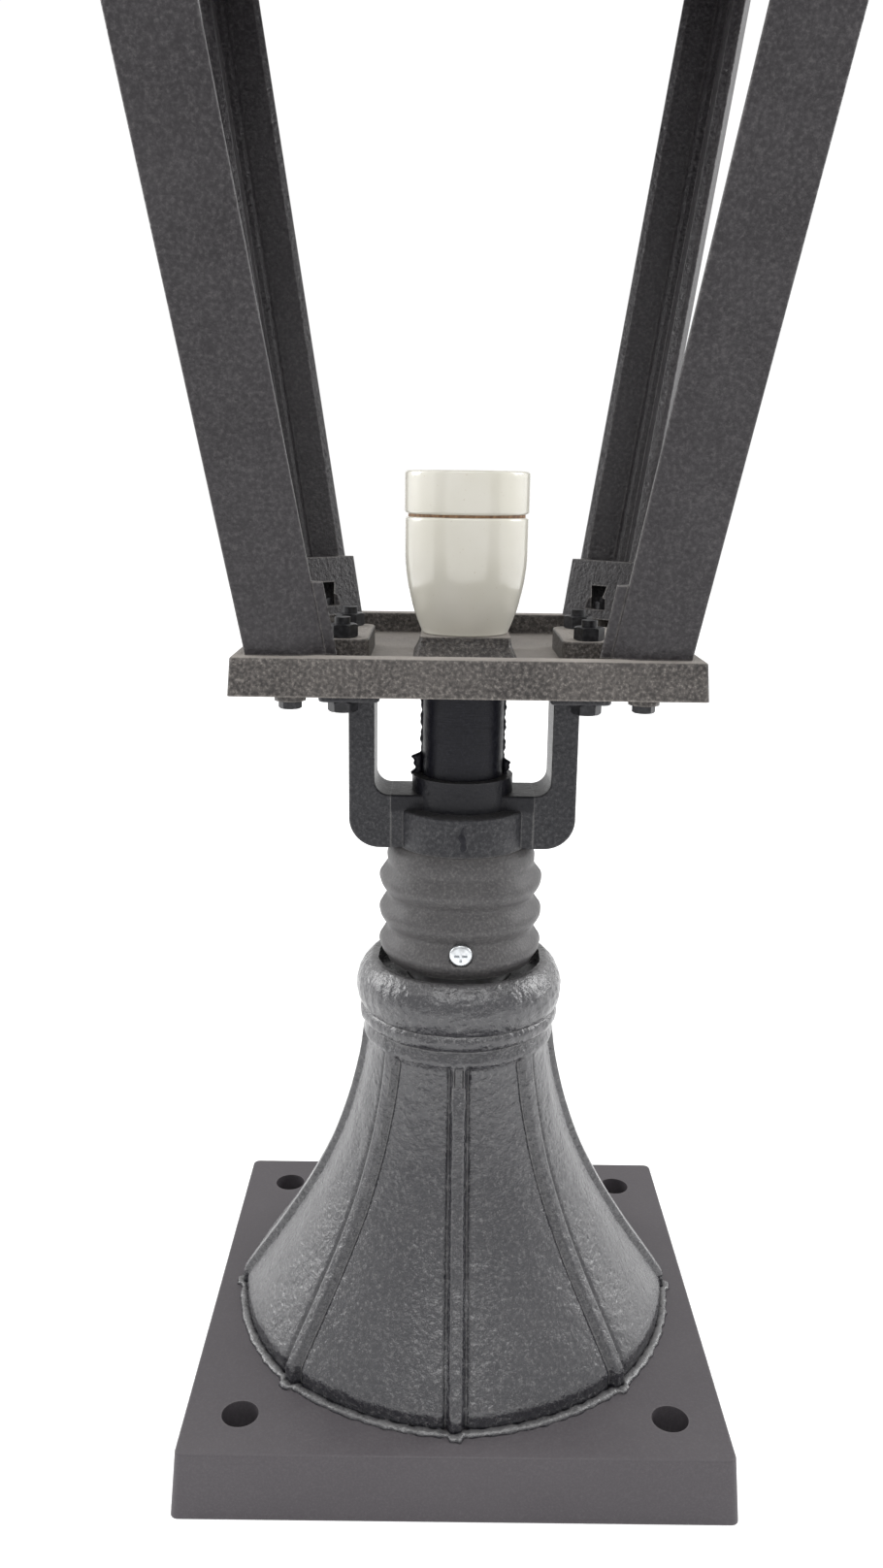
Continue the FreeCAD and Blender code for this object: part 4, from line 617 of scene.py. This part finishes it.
# ---- pedestal -------------------------------------------------------------------------------
@dataclass
class Pedestal:
    """Ground plate and ribbed bell with its collar."""

    rib_count: int = 8
    rib_half: float = 2.5 * MM
    rib_edge: float = 0.7 * MM
    rib_height: float = 2.0 * MM
    rib_reach: float = 6.0 * MM
    rib_columns: int = 19
    front_rib_stop: float = 22.0 * MM
    front_rib_fade: float = 10.0 * MM
    groove_depth: float = 1.2 * MM
    groove_place: float = 1.5 * MM
    groove_half: float = 0.9 * MM
    panel_sag: float = 0.03
    panel_columns: int = 22
    lip_height: float = 7.5 * MM
    lip_inset: float = 0.9 * MM
    lip_edge: float = 1.2 * MM
    wall: float = 7.4 * MM
    neck_radius: float = 39.5 * MM
    spigot_hole: float = 21.7 * MM
    hollow_radius: float = 32.1 * MM
    collar_foot: float = 31.5 * MM
    band_height: float = 4.5 * MM
    band_draft: float = 1.0 * MM
    bead_height: float = 7.0 * MM
    bead_bulge: float = 1.7 * MM
    bead_shelf: float = 0.7 * MM
    crest_bulge: float = 3.3 * MM
    rim_inset: float = 3.0 * MM
    rim_edge: float = 0.4 * MM
    recess_inset: float = 5.5 * MM
    recess_depth: float = 7.5 * MM
    seat_depth: float = 16.5 * MM
    fade: float = 4.0 * MM
    foot_bead_out: float = 1.3 * MM
    foot_bead_radius: float = 1.5 * MM
    foot_bead_lift: float = 0.1 * MM
    foot_bead_sink: float = 0.4 * MM

    def __post_init__(self) -> None:
        """Reads the bell's place from the frame."""
        low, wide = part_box("bell_foot")
        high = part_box("bell_neck")[1]
        self.foot_radius = wide.x
        self.foot = low.z
        self.top = high.z
        self.neck_top = high.z - self.collar_foot
        self.recess_radius = self.neck_radius - self.recess_inset
        self.recess_floor = high.z - self.recess_depth

    def flare(self, height: np.ndarray, inset: float = 0.0) -> np.ndarray:
        """The bell's radius at a height.

        Args:
            height: height above the ground.
            inset: how far inside the rib line.

        Returns:
            Upright at the lip, then the flare times a power of the height still to go, where the
            power is largest at half height.
        """
        start = self.foot + self.lip_height
        share = np.clip((height - start) / (self.neck_top - start), 0, 1)
        power = 1.45 + 0.27 * (1 - (2 * share - 1) ** 2)
        return self.neck_radius + (self.foot_radius - self.neck_radius) * (1 - share) ** power - inset

    def outer_profile(self) -> np.ndarray:
        """The rib line from the plate up over the collar to the sunk ring."""
        neck = self.neck_radius
        lip = (self.foot_radius, self.foot + self.lip_edge)
        side_z = np.linspace(lip[1], self.neck_top, 84, endpoint=False)
        side = np.stack([self.flare(side_z), side_z], axis=-1)
        bead_low = self.neck_top + self.band_height
        bead_high = bead_low + self.bead_height
        band_end = (neck - self.band_draft, bead_low)
        bead_middle = (neck + self.bead_bulge, (bead_low + bead_high) / 2)
        shelf = (neck + self.bead_shelf, bead_high)
        crest = (neck + self.crest_bulge, bead_high + (self.top - bead_high) / 3)
        rim = (neck - self.rim_inset, self.top)
        edge = (self.recess_radius, self.top - self.rim_edge)
        return np.concatenate([
            run((self.foot_radius - self.lip_inset, self.foot), lip, 2), side,
            run((neck, self.neck_top), band_end, 5), bow(band_end, bead_middle, shelf, 10),
            bow(shelf, crest, rim, 22), track([rim, edge, (self.recess_radius, self.recess_floor)], [3, 4]),
        ])

    def inner_profile(self) -> np.ndarray:
        """From the sunk ring's floor through the spigot hole and down the hollow to the plate."""
        floor, seat = self.recess_floor, self.top - self.seat_depth
        hole, hollow = self.spigot_hole, self.hollow_radius
        corners = [(self.recess_radius, floor), (hole, floor), (hole, seat), (hollow, seat),
                   (hollow, self.neck_top)]
        side_z = np.linspace(self.neck_top, self.foot, 34)
        inside = np.stack([self.flare(side_z, self.wall), side_z], axis=-1)
        return np.concatenate([track(corners, [3, 3, 3, 4]), inside])

    def columns(self, radius: np.ndarray) -> tuple[np.ndarray, np.ndarray, np.ndarray]:
        """Angles round the bell that stay a fixed distance from each rib at every height.

        Args:
            radius: rows x 1 radii of the rib line.

        Returns:
            The angle, the distance from the nearest rib's middle, and how far across its panel a
            column stands, from 0 at one rib to 1 at the next. The first rib is the front one.
        """
        step = 2 * math.pi / self.rib_count
        reach = self.rib_reach
        beside = np.linspace(-reach, reach, self.rib_columns)[None, None, :]
        across = np.linspace(0, 1, self.panel_columns + 2)[1:-1][None, None, :]
        rib = np.arange(self.rib_count)[None, :, None]
        radius = radius[:, :, None]
        near = reach / radius
        rib_angle = rib * step + beside / radius
        panel_angle = rib * step + near + (step - 2 * near) * across
        angle = np.concatenate([rib_angle, panel_angle], axis=2)
        from_panel = np.minimum(panel_angle - rib * step, (rib + 1) * step - panel_angle)
        turned_from = np.concatenate([rib_angle - rib * step, from_panel], axis=2)
        share = ((angle - rib * step) / step) % 1.0
        distance = np.abs(turned_from) * radius
        return tuple(grid.reshape(len(radius), -1) for grid in (angle - math.pi / 2, distance, share))

    def rib_back(self, distance: np.ndarray) -> np.ndarray:
        """1 on a rib's back, falling smoothly to 0 at its sides."""
        return 1 - smooth(distance, self.rib_half - self.rib_edge, self.rib_half + self.rib_edge)

    def panel_depth(self, radius: np.ndarray, share: np.ndarray) -> np.ndarray:
        """How deep a panel lies below the rib line: the rib's height plus half a sine wave across."""
        middle = np.maximum(self.panel_sag * radius - self.rib_height, 0)
        return self.rib_height + middle * np.sin(math.pi * share)

    def lumps(self, angle: np.ndarray, height: np.ndarray) -> np.ndarray:
        """How far the hand-moulded skin stands out, in metres: more uneven and streaked on the collar."""
        collar = smooth(height, self.neck_top - self.fade, self.neck_top + 1.5 * self.fade)
        streaks = np.sin(17 * angle + 900 * height) * np.sin(31 * angle - 640 * height)
        rough = uneven(angle, height)
        skin = 0.16 * rough + collar * (0.3 * rough + 0.16 * streaks - 0.55)
        return skin * smooth(height, self.foot, self.foot + self.fade) * MM

    def bell(self) -> bpy.types.Object:
        """The bell: the outline turned round, sunk between the ribs, grooved beside them.

        Returns:
            The bell. Its front rib ends below the neck, the others run up to the collar.
        """
        outer, inner = self.outer_profile(), self.inner_profile()
        profile = np.concatenate([outer, inner])
        radius, height = profile[:, :1], profile[:, 1:]
        outside = (np.arange(len(profile)) < len(outer))[:, None]
        angle, distance, share = self.columns(np.maximum(radius, self.neck_radius))
        ribbed = outside * (1 - smooth(height, self.neck_top - self.fade, self.neck_top))
        stop = self.neck_top - self.front_rib_stop
        short = 1 - smooth(height, stop, stop + self.front_rib_fade)
        by_rib = np.minimum(share, 1 - share) < 0.5 / self.rib_count
        front = by_rib & (np.abs(angle + math.pi / 2) < math.pi / self.rib_count)
        raised = self.rib_back(distance) * np.where(front, short, 1)
        groove = np.exp(-(((distance - self.rib_half - self.groove_place) / self.groove_half) ** 2))
        waves = 0.9 + 0.1 * np.sin(90 * angle) * np.sin(170 * height)
        sunk = self.panel_depth(radius, share) * (1 - raised) + self.groove_depth * groove * waves
        radius = radius - ribbed * sunk + outside * self.lumps(angle, height)
        made = surface("bell_casting", around(radius, angle, height), 55.0)
        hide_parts("bell_foot", "bell_neck")
        return made

    def foot_bead(self) -> bpy.types.Object:
        """Rough bead of casting round the bell's foot: a small tube carried round its outline.

        Returns:
            The bead. Its tube's radius is a sum of sines of the angle, and it is cut flat just
            below the plate's top.
        """
        line = np.array([[self.foot_radius]])
        angle, distance, share = self.columns(line)
        sunk = self.panel_depth(line, share) * (1 - self.rib_back(distance))
        path = line - sunk + self.foot_bead_out
        ragged = 0.55 * np.sin(61 * angle + 2) * np.sin(23 * angle) + 0.35 * np.sin(141 * angle)
        tube = self.foot_bead_radius + 0.5 * ragged * MM
        turn = np.linspace(0, 2 * math.pi, 14, endpoint=False)[:, None]
        radius = path + tube * 1.35 * np.cos(turn)
        bottom = -self.foot_bead_sink
        height = self.foot + self.foot_bead_lift + np.maximum(tube * np.sin(turn), bottom)
        return surface("bell_foot_bead", around(radius, angle, height), 80.0)

    def build(self, wardrobe: Wardrobe) -> None:
        """Makes and dresses the pedestal."""
        for piece in (self.bell(), self.foot_bead()):
            wardrobe.dress(BELL_PAINT, piece)
            ride(piece, Body.PEDESTAL)
        wardrobe.dress_nodes(PLATE_PAINT, "base_plate")
        wardrobe.dress_nodes(BELL_PAINT, "bell_foot", "bell_neck")
        wardrobe.dress_nodes(STEEL, "spigot_tube")
        wardrobe.dress_nodes(BlackZinc(), "bell_screws", "spigot_screws")


# ---- neck and yoke --------------------------------------------------------------------------
@dataclass
class Neck:
    """Ringed sleeve, stem and yoke under the tray."""

    ring_count: int = 3
    bearing_radius: float = 21.26 * MM
    groove_radius: float = 29.6 * MM
    ring_depth: float = 3.2 * MM
    seat_depth: float = 30.6 * MM
    shoulder: float = 8.0 * MM
    cap_wall: float = 13.0 * MM
    stem_radius: float = 16.05 * MM
    top_radius: float = 26.8 * MM
    bulge: float = 2.6 * MM
    seat_radius: float = 4.8 * MM
    seam_height: float = 0.8 * MM
    skin_height: float = 0.22 * MM
    flash_sink: float = 4.0 * MM
    flash_root: float = 0.3 * MM
    lump_height: float = 5.0 * MM
    lump_fade: float = 3.0 * MM
    lump_shift: float = 1.0 * MM
    collar_height: float = 14.0 * MM
    collar_radius: float = 26.4 * MM
    drop_foot: float = 2.5 * MM
    drop_height: float = 10.0 * MM
    drop_half: float = 1.7 * MM

    def sleeve(self) -> bpy.types.Object:
        """The sleeve: rings like a raised cosine wave, with a seam each side and a screw seat."""
        low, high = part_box("neck_sleeve")
        groove, top, stem, bearing = (self.groove_radius, self.top_radius, self.stem_radius,
                                      self.bearing_radius)
        shoulder_foot, chamber = high.z - self.shoulder, high.z - self.cap_wall
        pitch = (shoulder_foot - low.z) / self.ring_count
        share = np.linspace(0, self.ring_count, 22 * self.ring_count, endpoint=False)
        swell = (0.5 - 0.5 * np.cos(2 * math.pi * share)) ** 0.75
        rings = np.stack([groove + self.ring_depth * swell, low.z + pitch * share], axis=-1)
        shoulder = bow((groove, shoulder_foot), (top + self.bulge, shoulder_foot + self.shoulder / 2),
                       (top, high.z), 12)
        inside = track([(top, high.z), (stem, high.z), (stem, chamber), (bearing, chamber),
                        (bearing, low.z), (groove, low.z)], [3, 3, 3, 12, 3])
        x, y, z = np.moveaxis(revolve(np.concatenate([rings, shoulder, inside]), 300), -1, 0)
        angle = np.arctan2(y, x)
        skin = (np.arange(len(z)) < len(rings) + len(shoulder))[:, None]
        ragged = 0.35 + 0.35 * np.sin(700 * z) * np.sin(260 * z + 1)
        seam = np.exp(-((np.sin(angle) / 0.035) ** 2)) * ragged
        raised = skin * (seam * self.seam_height + self.skin_height * uneven(angle, z))
        grow = 1 + raised / (groove + self.ring_depth)
        x, y = x * grow, y * grow
        screw_low, screw_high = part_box("neck_set_screw")
        from_screw = np.hypot(x, z - (screw_low.z + screw_high.z) / 2)
        seat = skin & (y < 0) & (from_screw < self.seat_radius)
        y = np.where(seat, -self.seat_depth, y)
        made = surface("ringed_sleeve", np.stack([x, y, z], axis=-1), 60.0)
        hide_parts("neck_sleeve")
        return made

    def flash(self, side: int) -> bpy.types.Object:
        """A ragged fin of casting flash up one side of the stem.

        Args:
            side: 1 for the right, -1 for the left.

        Returns:
            An upright fin with an oval section. Its width is a sum of two sines of the height, steps out
            over a lump just above the yoke, and shrinks to nothing at both ends.
        """
        hub_top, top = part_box("yoke_hub")[1].z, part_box("lantern_tray")[0].z
        foot = hub_top - self.flash_sink
        height = np.linspace(foot, top, 110)[:, None]
        turn = np.linspace(0, 2 * math.pi, 16, endpoint=False)
        along = (height - foot) / MM
        ragged = 0.5 + 0.3 * np.sin(0.83 * along + side) + 0.2 * np.sin(2.1 * along * (1 + 0.1 * side))
        lump_top = hub_top + self.lump_height - side * self.lump_shift
        lump = 1 - smooth(height, lump_top, lump_top + self.lump_fade)
        ends = np.sqrt(np.clip(np.minimum(height - foot, top - height) / MM, 0, 1))
        bulge = (1.5 - 0.35 * side) * lump * (0.6 + 0.4 * ragged)
        width = ends * (0.3 + 0.4 * ragged + bulge) * MM
        thick = ends * (0.4 + 0.4 * ragged + 0.9 * lump) * MM
        x = side * (self.stem_radius - self.flash_root + width * (1 + np.cos(turn)))
        ring = np.stack([x, thick * np.sin(turn), height + 0 * turn], axis=-1)
        middle = ring.mean(axis=1, keepdims=True) + 0 * ring
        closed = np.concatenate([middle[:1], ring, middle[-1:]])
        return capped("neck_flash_right" if side > 0 else "neck_flash_left", closed)

    def paint_run(self) -> bpy.types.Object:
        """A dried run of paint down the front of the yoke's collar.

        Returns:
            A flat drop. Its half-width is the square root of a sine, fuller towards the foot, and it
            stands out of the collar's round face by a fraction of that.
        """
        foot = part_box("yoke_hub")[0].z + self.drop_foot
        rise = np.linspace(0, 1, 30)[:, None]
        turn = np.linspace(0, 2 * math.pi, 20, endpoint=False)
        taper = 1.0 - 0.55 * rise + 0.2 * np.sin(14 * rise)
        half = self.drop_half * np.sqrt(np.sin(math.pi * rise) + 1e-9) * taper
        x = half * np.cos(turn) + 0.4 * MM * np.sin(7 * rise)
        y = -np.sqrt(self.collar_radius ** 2 - x * x) - 0.22 * half * np.sin(turn)
        z = foot + self.drop_height * rise + 0 * turn
        return capped("collar_paint_run", np.stack([x, y, z], axis=-1))

    def build(self, wardrobe: Wardrobe) -> None:
        """Makes and dresses the neck and the yoke."""
        sleeve = self.sleeve()
        wardrobe.dress(SLEEVE_PAINT, sleeve)
        ride(sleeve, Body.HEAD)
        for scrap in (self.flash(-1), self.flash(1), self.paint_run()):
            wardrobe.dress(STEM_PAINT, scrap)
            ride(scrap, Body.HEAD)
        wardrobe.dress_nodes(SLEEVE_PAINT, "neck_sleeve")
        # the hub turns black above its collar, which stands for darker paint and painted shade under the
        # tray
        hub_low = min(corner[2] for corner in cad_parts["yoke_hub"].bound_box)
        hub_paint = replace(YOKE_PAINT, name="yoke_hub_paint", dark_and_shade_from=hub_low + self.collar_height)
        wardrobe.dress_nodes(hub_paint, "yoke_hub")
        wardrobe.dress_nodes(YOKE_PAINT, "yoke_arm_left", "yoke_arm_right")
        wardrobe.dress_nodes(STEM_PAINT, "stem_pipe")
        wardrobe.dress_nodes(ZINC, "neck_set_screw", "stem_backnut")
        wardrobe.dress_nodes(BlackZinc(), "yoke_bolts", "yoke_nuts")


# ---- lantern head ---------------------------------------------------------------------------
@dataclass
class Lampholder:
    """Glazed cup with its screw ring."""

    foot_radius: float = 16.8 * MM
    neck_radius: float = 21.0 * MM
    well_radius: float = 12.0 * MM
    bore_radius: float = 18.5 * MM
    nipple_radius: float = 5.3 * MM
    ledge: float = 20.0 * MM
    floor: float = 5.0 * MM
    neck_height: float = 11.0 * MM
    thread_gap: float = 0.3 * MM
    soft: float = 0.9 * MM
    lip_radius: float = 14.3 * MM
    lip_height: float = 5.0 * MM
    waist_out: float = 0.71         # shares of the side's spread and of the cup's height
    waist_up: float = 0.34
    upright_from: float = 0.75

    def cup(self) -> bpy.types.Object:
        """The cup: a narrow foot, a side that swells on an arc and turns upright, hollow inside."""
        low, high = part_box("lampholder_body")
        foot, top = low.z, high.z - self.neck_height
        ledge, floor = foot + self.ledge, foot + self.floor
        radius, body, soft = high.x, top - low.z, self.soft
        neck, bore, well, nipple = self.neck_radius, self.bore_radius, self.well_radius, self.nipple_radius
        spread = radius - self.foot_radius
        waist = (self.foot_radius + spread * self.waist_out, foot + body * self.waist_up)
        upright = (radius, foot + body * self.upright_from)
        hollow = [(radius - soft, top), (neck, top), (neck, high.z), (bore, high.z), (bore, ledge),
                  (well, ledge), (well, floor), (nipple, floor), (nipple, foot),
                  (self.foot_radius - soft, foot)]
        profile = np.concatenate([
            softened((self.foot_radius, foot), INWARD, UP, soft, 5),
            bow((self.foot_radius, foot + soft), waist, upright, 44),
            run(upright, (radius, top - soft), 6),
            softened((radius, top), DOWN, INWARD, soft, 6),
            track(hollow, [3, 6, 3, 8, 4, 5, 4, 4, 6]),
        ])
        made = surface("glazed_cup", revolve(profile, 200), 45.0)
        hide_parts("lampholder_body")
        return made

    def ring(self) -> bpy.types.Object:
        """The screw ring: an upright wall with softly rounded edges and a lip inwards."""
        low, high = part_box("holder_ring")
        radius, lip, soft = high.x, self.lip_radius, 1.3 * self.soft
        thread, under_lip = self.neck_radius + self.thread_gap, high.z - self.lip_height
        inside = [(lip, high.z - soft), (lip, under_lip), (thread, under_lip), (thread, low.z),
                  (radius - soft, low.z)]
        profile = np.concatenate([
            softened((radius, low.z), INWARD, UP, soft, 6),
            run((radius, low.z + soft), (radius, high.z - soft), 12),
            softened((radius, high.z), DOWN, INWARD, soft, 8),
            run((radius - soft, high.z), (lip + soft, high.z), 5),
            softened((lip, high.z), OUTWARD, DOWN, soft, 6),
            track(inside, [4, 4, 8, 3]),
        ])
        made = surface("glazed_ring", revolve(profile, 200), 45.0)
        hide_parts("holder_ring")
        return made

    def build(self, wardrobe: Wardrobe) -> None:
        """Makes and dresses the lampholder."""
        cup, ring = self.cup(), self.ring()
        wardrobe.dress(Glaze(), cup, ring)
        ride(cup, Body.HEAD)
        ride(ring, Body.RING)
        wardrobe.dress_nodes(Glaze(), "lampholder_body", "holder_ring")
        wardrobe.dress_nodes(FIBRE, "holder_seal")
        wardrobe.dress_nodes(BISQUE, "contact_block")
        wardrobe.dress_nodes(BRASS, "lamp_screw_shell", "centre_contact", "terminal_screws", "holder_nipple",
                             "nipple_nuts", "earth_screw")


@dataclass
class Cage:
    """Tray, corner posts and top frame with the fasteners that hold them."""

    def build(self, wardrobe: Wardrobe) -> None:
        """Dresses the tray, the posts and the top frame."""
        posts = sorted(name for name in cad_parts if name.startswith("corner_post"))
        wardrobe.dress_nodes(TRAY_PAINT, "lantern_tray")
        wardrobe.dress_nodes(POST_PAINT, *posts, "top_frame")
        wardrobe.dress_nodes(BlackZinc(), "post_bolts", "post_nuts", "top_frame_screws", "top_frame_nuts",
                             "catch_screw")
        wardrobe.dress_nodes(STEEL, "hinge_pin")


@dataclass
class Roof:
    """Hipped roof with its vent, cap and finial."""

    def build(self, wardrobe: Wardrobe) -> None:
        """Dresses the roof's pieces."""
        wardrobe.dress_nodes(ROOF_PAINT, "roof_shell", "vent_collar", "vent_cap", "finial", "roof_catch")
        wardrobe.dress_nodes(STEEL, "finial_stud", "vent_bridge")
        wardrobe.dress_nodes(BlackZinc(), "finial_nut")


# ---- studio ---------------------------------------------------------------------------------
@dataclass(frozen=True)
class SoftBox:
    """A square area light aimed at a point."""

    name: str
    place: tuple[float, float, float]
    target: tuple[float, float, float]
    size: float
    power: float

    def build(self) -> None:
        """Adds the light, turned to face its target."""
        lamp = bpy.data.lights.new(self.name, "AREA")
        lamp.size = self.size
        lamp.energy = self.power
        made = bpy.data.objects.new(self.name, lamp)
        made.location = self.place
        aim = Vector(self.target) - Vector(self.place)
        made.rotation_euler = aim.to_track_quat("-Z", "Y").to_euler()
        bpy.context.scene.collection.objects.link(made)


@dataclass
class Studio:
    """White floor, soft light and the camera."""

    floor_half: float = 4.0
    lens: float = 29.05
    sensor: float = 36.0
    camera_place: tuple[float, float, float] = (-0.0095, -0.4922, 0.3707)
    pitch_deg: float = 13.459
    roll_deg: float = 0.789
    yaw_deg: float = -0.143
    sky: float = 1.03
    room: float = 0.8
    floor_glow: float = 0.25
    boxes: tuple[SoftBox, ...] = (
        SoftBox("left_window", (-1.3, 0.45, 0.75), (0.0, 0.0, 0.25), 0.7, 10.0),
        SoftBox("right_window", (1.3, 0.4, 0.8), (0.0, 0.0, 0.25), 0.7, 10.0),
        SoftBox("ceiling", (0.0, -0.9, 1.75), (0.0, 0.0, 0.2), 1.4, 17.0),
    )

    def floor(self) -> None:
        """A large pale floor, slightly mottled."""
        half = self.floor_half
        mesh = bpy.data.meshes.new("studio_floor")
        corners = [(-half, -half, 0), (half, -half, 0), (half, half, 0), (-half, half, 0)]
        mesh.from_pydata(corners, [], [(0, 1, 2, 3)])
        made = bpy.data.objects.new("studio_floor", mesh)
        bpy.context.scene.collection.objects.link(made)
        g = Graph("studio_white")
        colour = g.blend(g.noise(0.4, 2.0), (0.93, 0.93, 0.93), (0.9, 0.9, 0.9))
        white = g.finish(Base_Color=colour, Roughness=0.9, Emission_Color=(1.0, 1.0, 1.0),
                         Emission_Strength=self.floor_glow)
        mesh.materials.append(white)

    def light(self) -> None:
        """A white sky, a little darker towards the front, and the soft boxes."""
        world = bpy.data.worlds.new("studio_sky")
        world.use_nodes = True
        nodes, links = world.node_tree.nodes, world.node_tree.links
        sky = nodes["Background"]
        towards = nodes.new("ShaderNodeSeparateXYZ")
        links.new(nodes.new("ShaderNodeTexCoord").outputs["Generated"], towards.inputs[0])
        shade = nodes.new("ShaderNodeMapRange")
        shade.interpolation_type = "SMOOTHSTEP"
        links.new(towards.outputs["Y"], shade.inputs["Value"])
        limits = {"From Min": -0.95, "From Max": -0.1, "To Min": self.room, "To Max": self.sky}
        for name, value in limits.items():
            shade.inputs[name].default_value = value
        links.new(shade.outputs["Result"], sky.inputs["Strength"])
        sky.inputs["Color"].default_value = (1.0, 1.0, 1.0, 1.0)
        bpy.context.scene.world = world
        for box in self.boxes:
            box.build()

    def camera(self) -> None:
        """The camera: pitched down, turned a little and rolled a little."""
        data = bpy.data.cameras.new("camera")
        data.lens = self.lens
        data.sensor_width = self.sensor
        data.clip_start = 0.01
        made = bpy.data.objects.new("camera", data)
        bpy.context.scene.collection.objects.link(made)
        turn = Matrix.Rotation(math.radians(self.yaw_deg), 4, "Z")
        tilt = Matrix.Rotation(math.radians(90 - self.pitch_deg), 4, "X")
        roll = Matrix.Rotation(math.radians(self.roll_deg), 4, "Z")
        made.matrix_world = Matrix.Translation(self.camera_place) @ turn @ tilt @ roll
        bpy.context.scene.camera = made

    def build(self) -> None:
        """Sets up floor, light, camera and a plain view of the colours."""
        self.floor()
        self.light()
        self.camera()
        bpy.context.scene.view_settings.view_transform = "Standard"


def main() -> None:
    """Builds every sub-assembly."""
    logging.basicConfig(level=logging.INFO, format="%(name)s: %(message)s")
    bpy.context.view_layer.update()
    wardrobe = Wardrobe()
    for assembly in (Pedestal(), Neck(), Cage(), Lampholder(), Roof()):
        assembly.build(wardrobe)
    Studio().build()


if __name__ == "__main__":
    main()
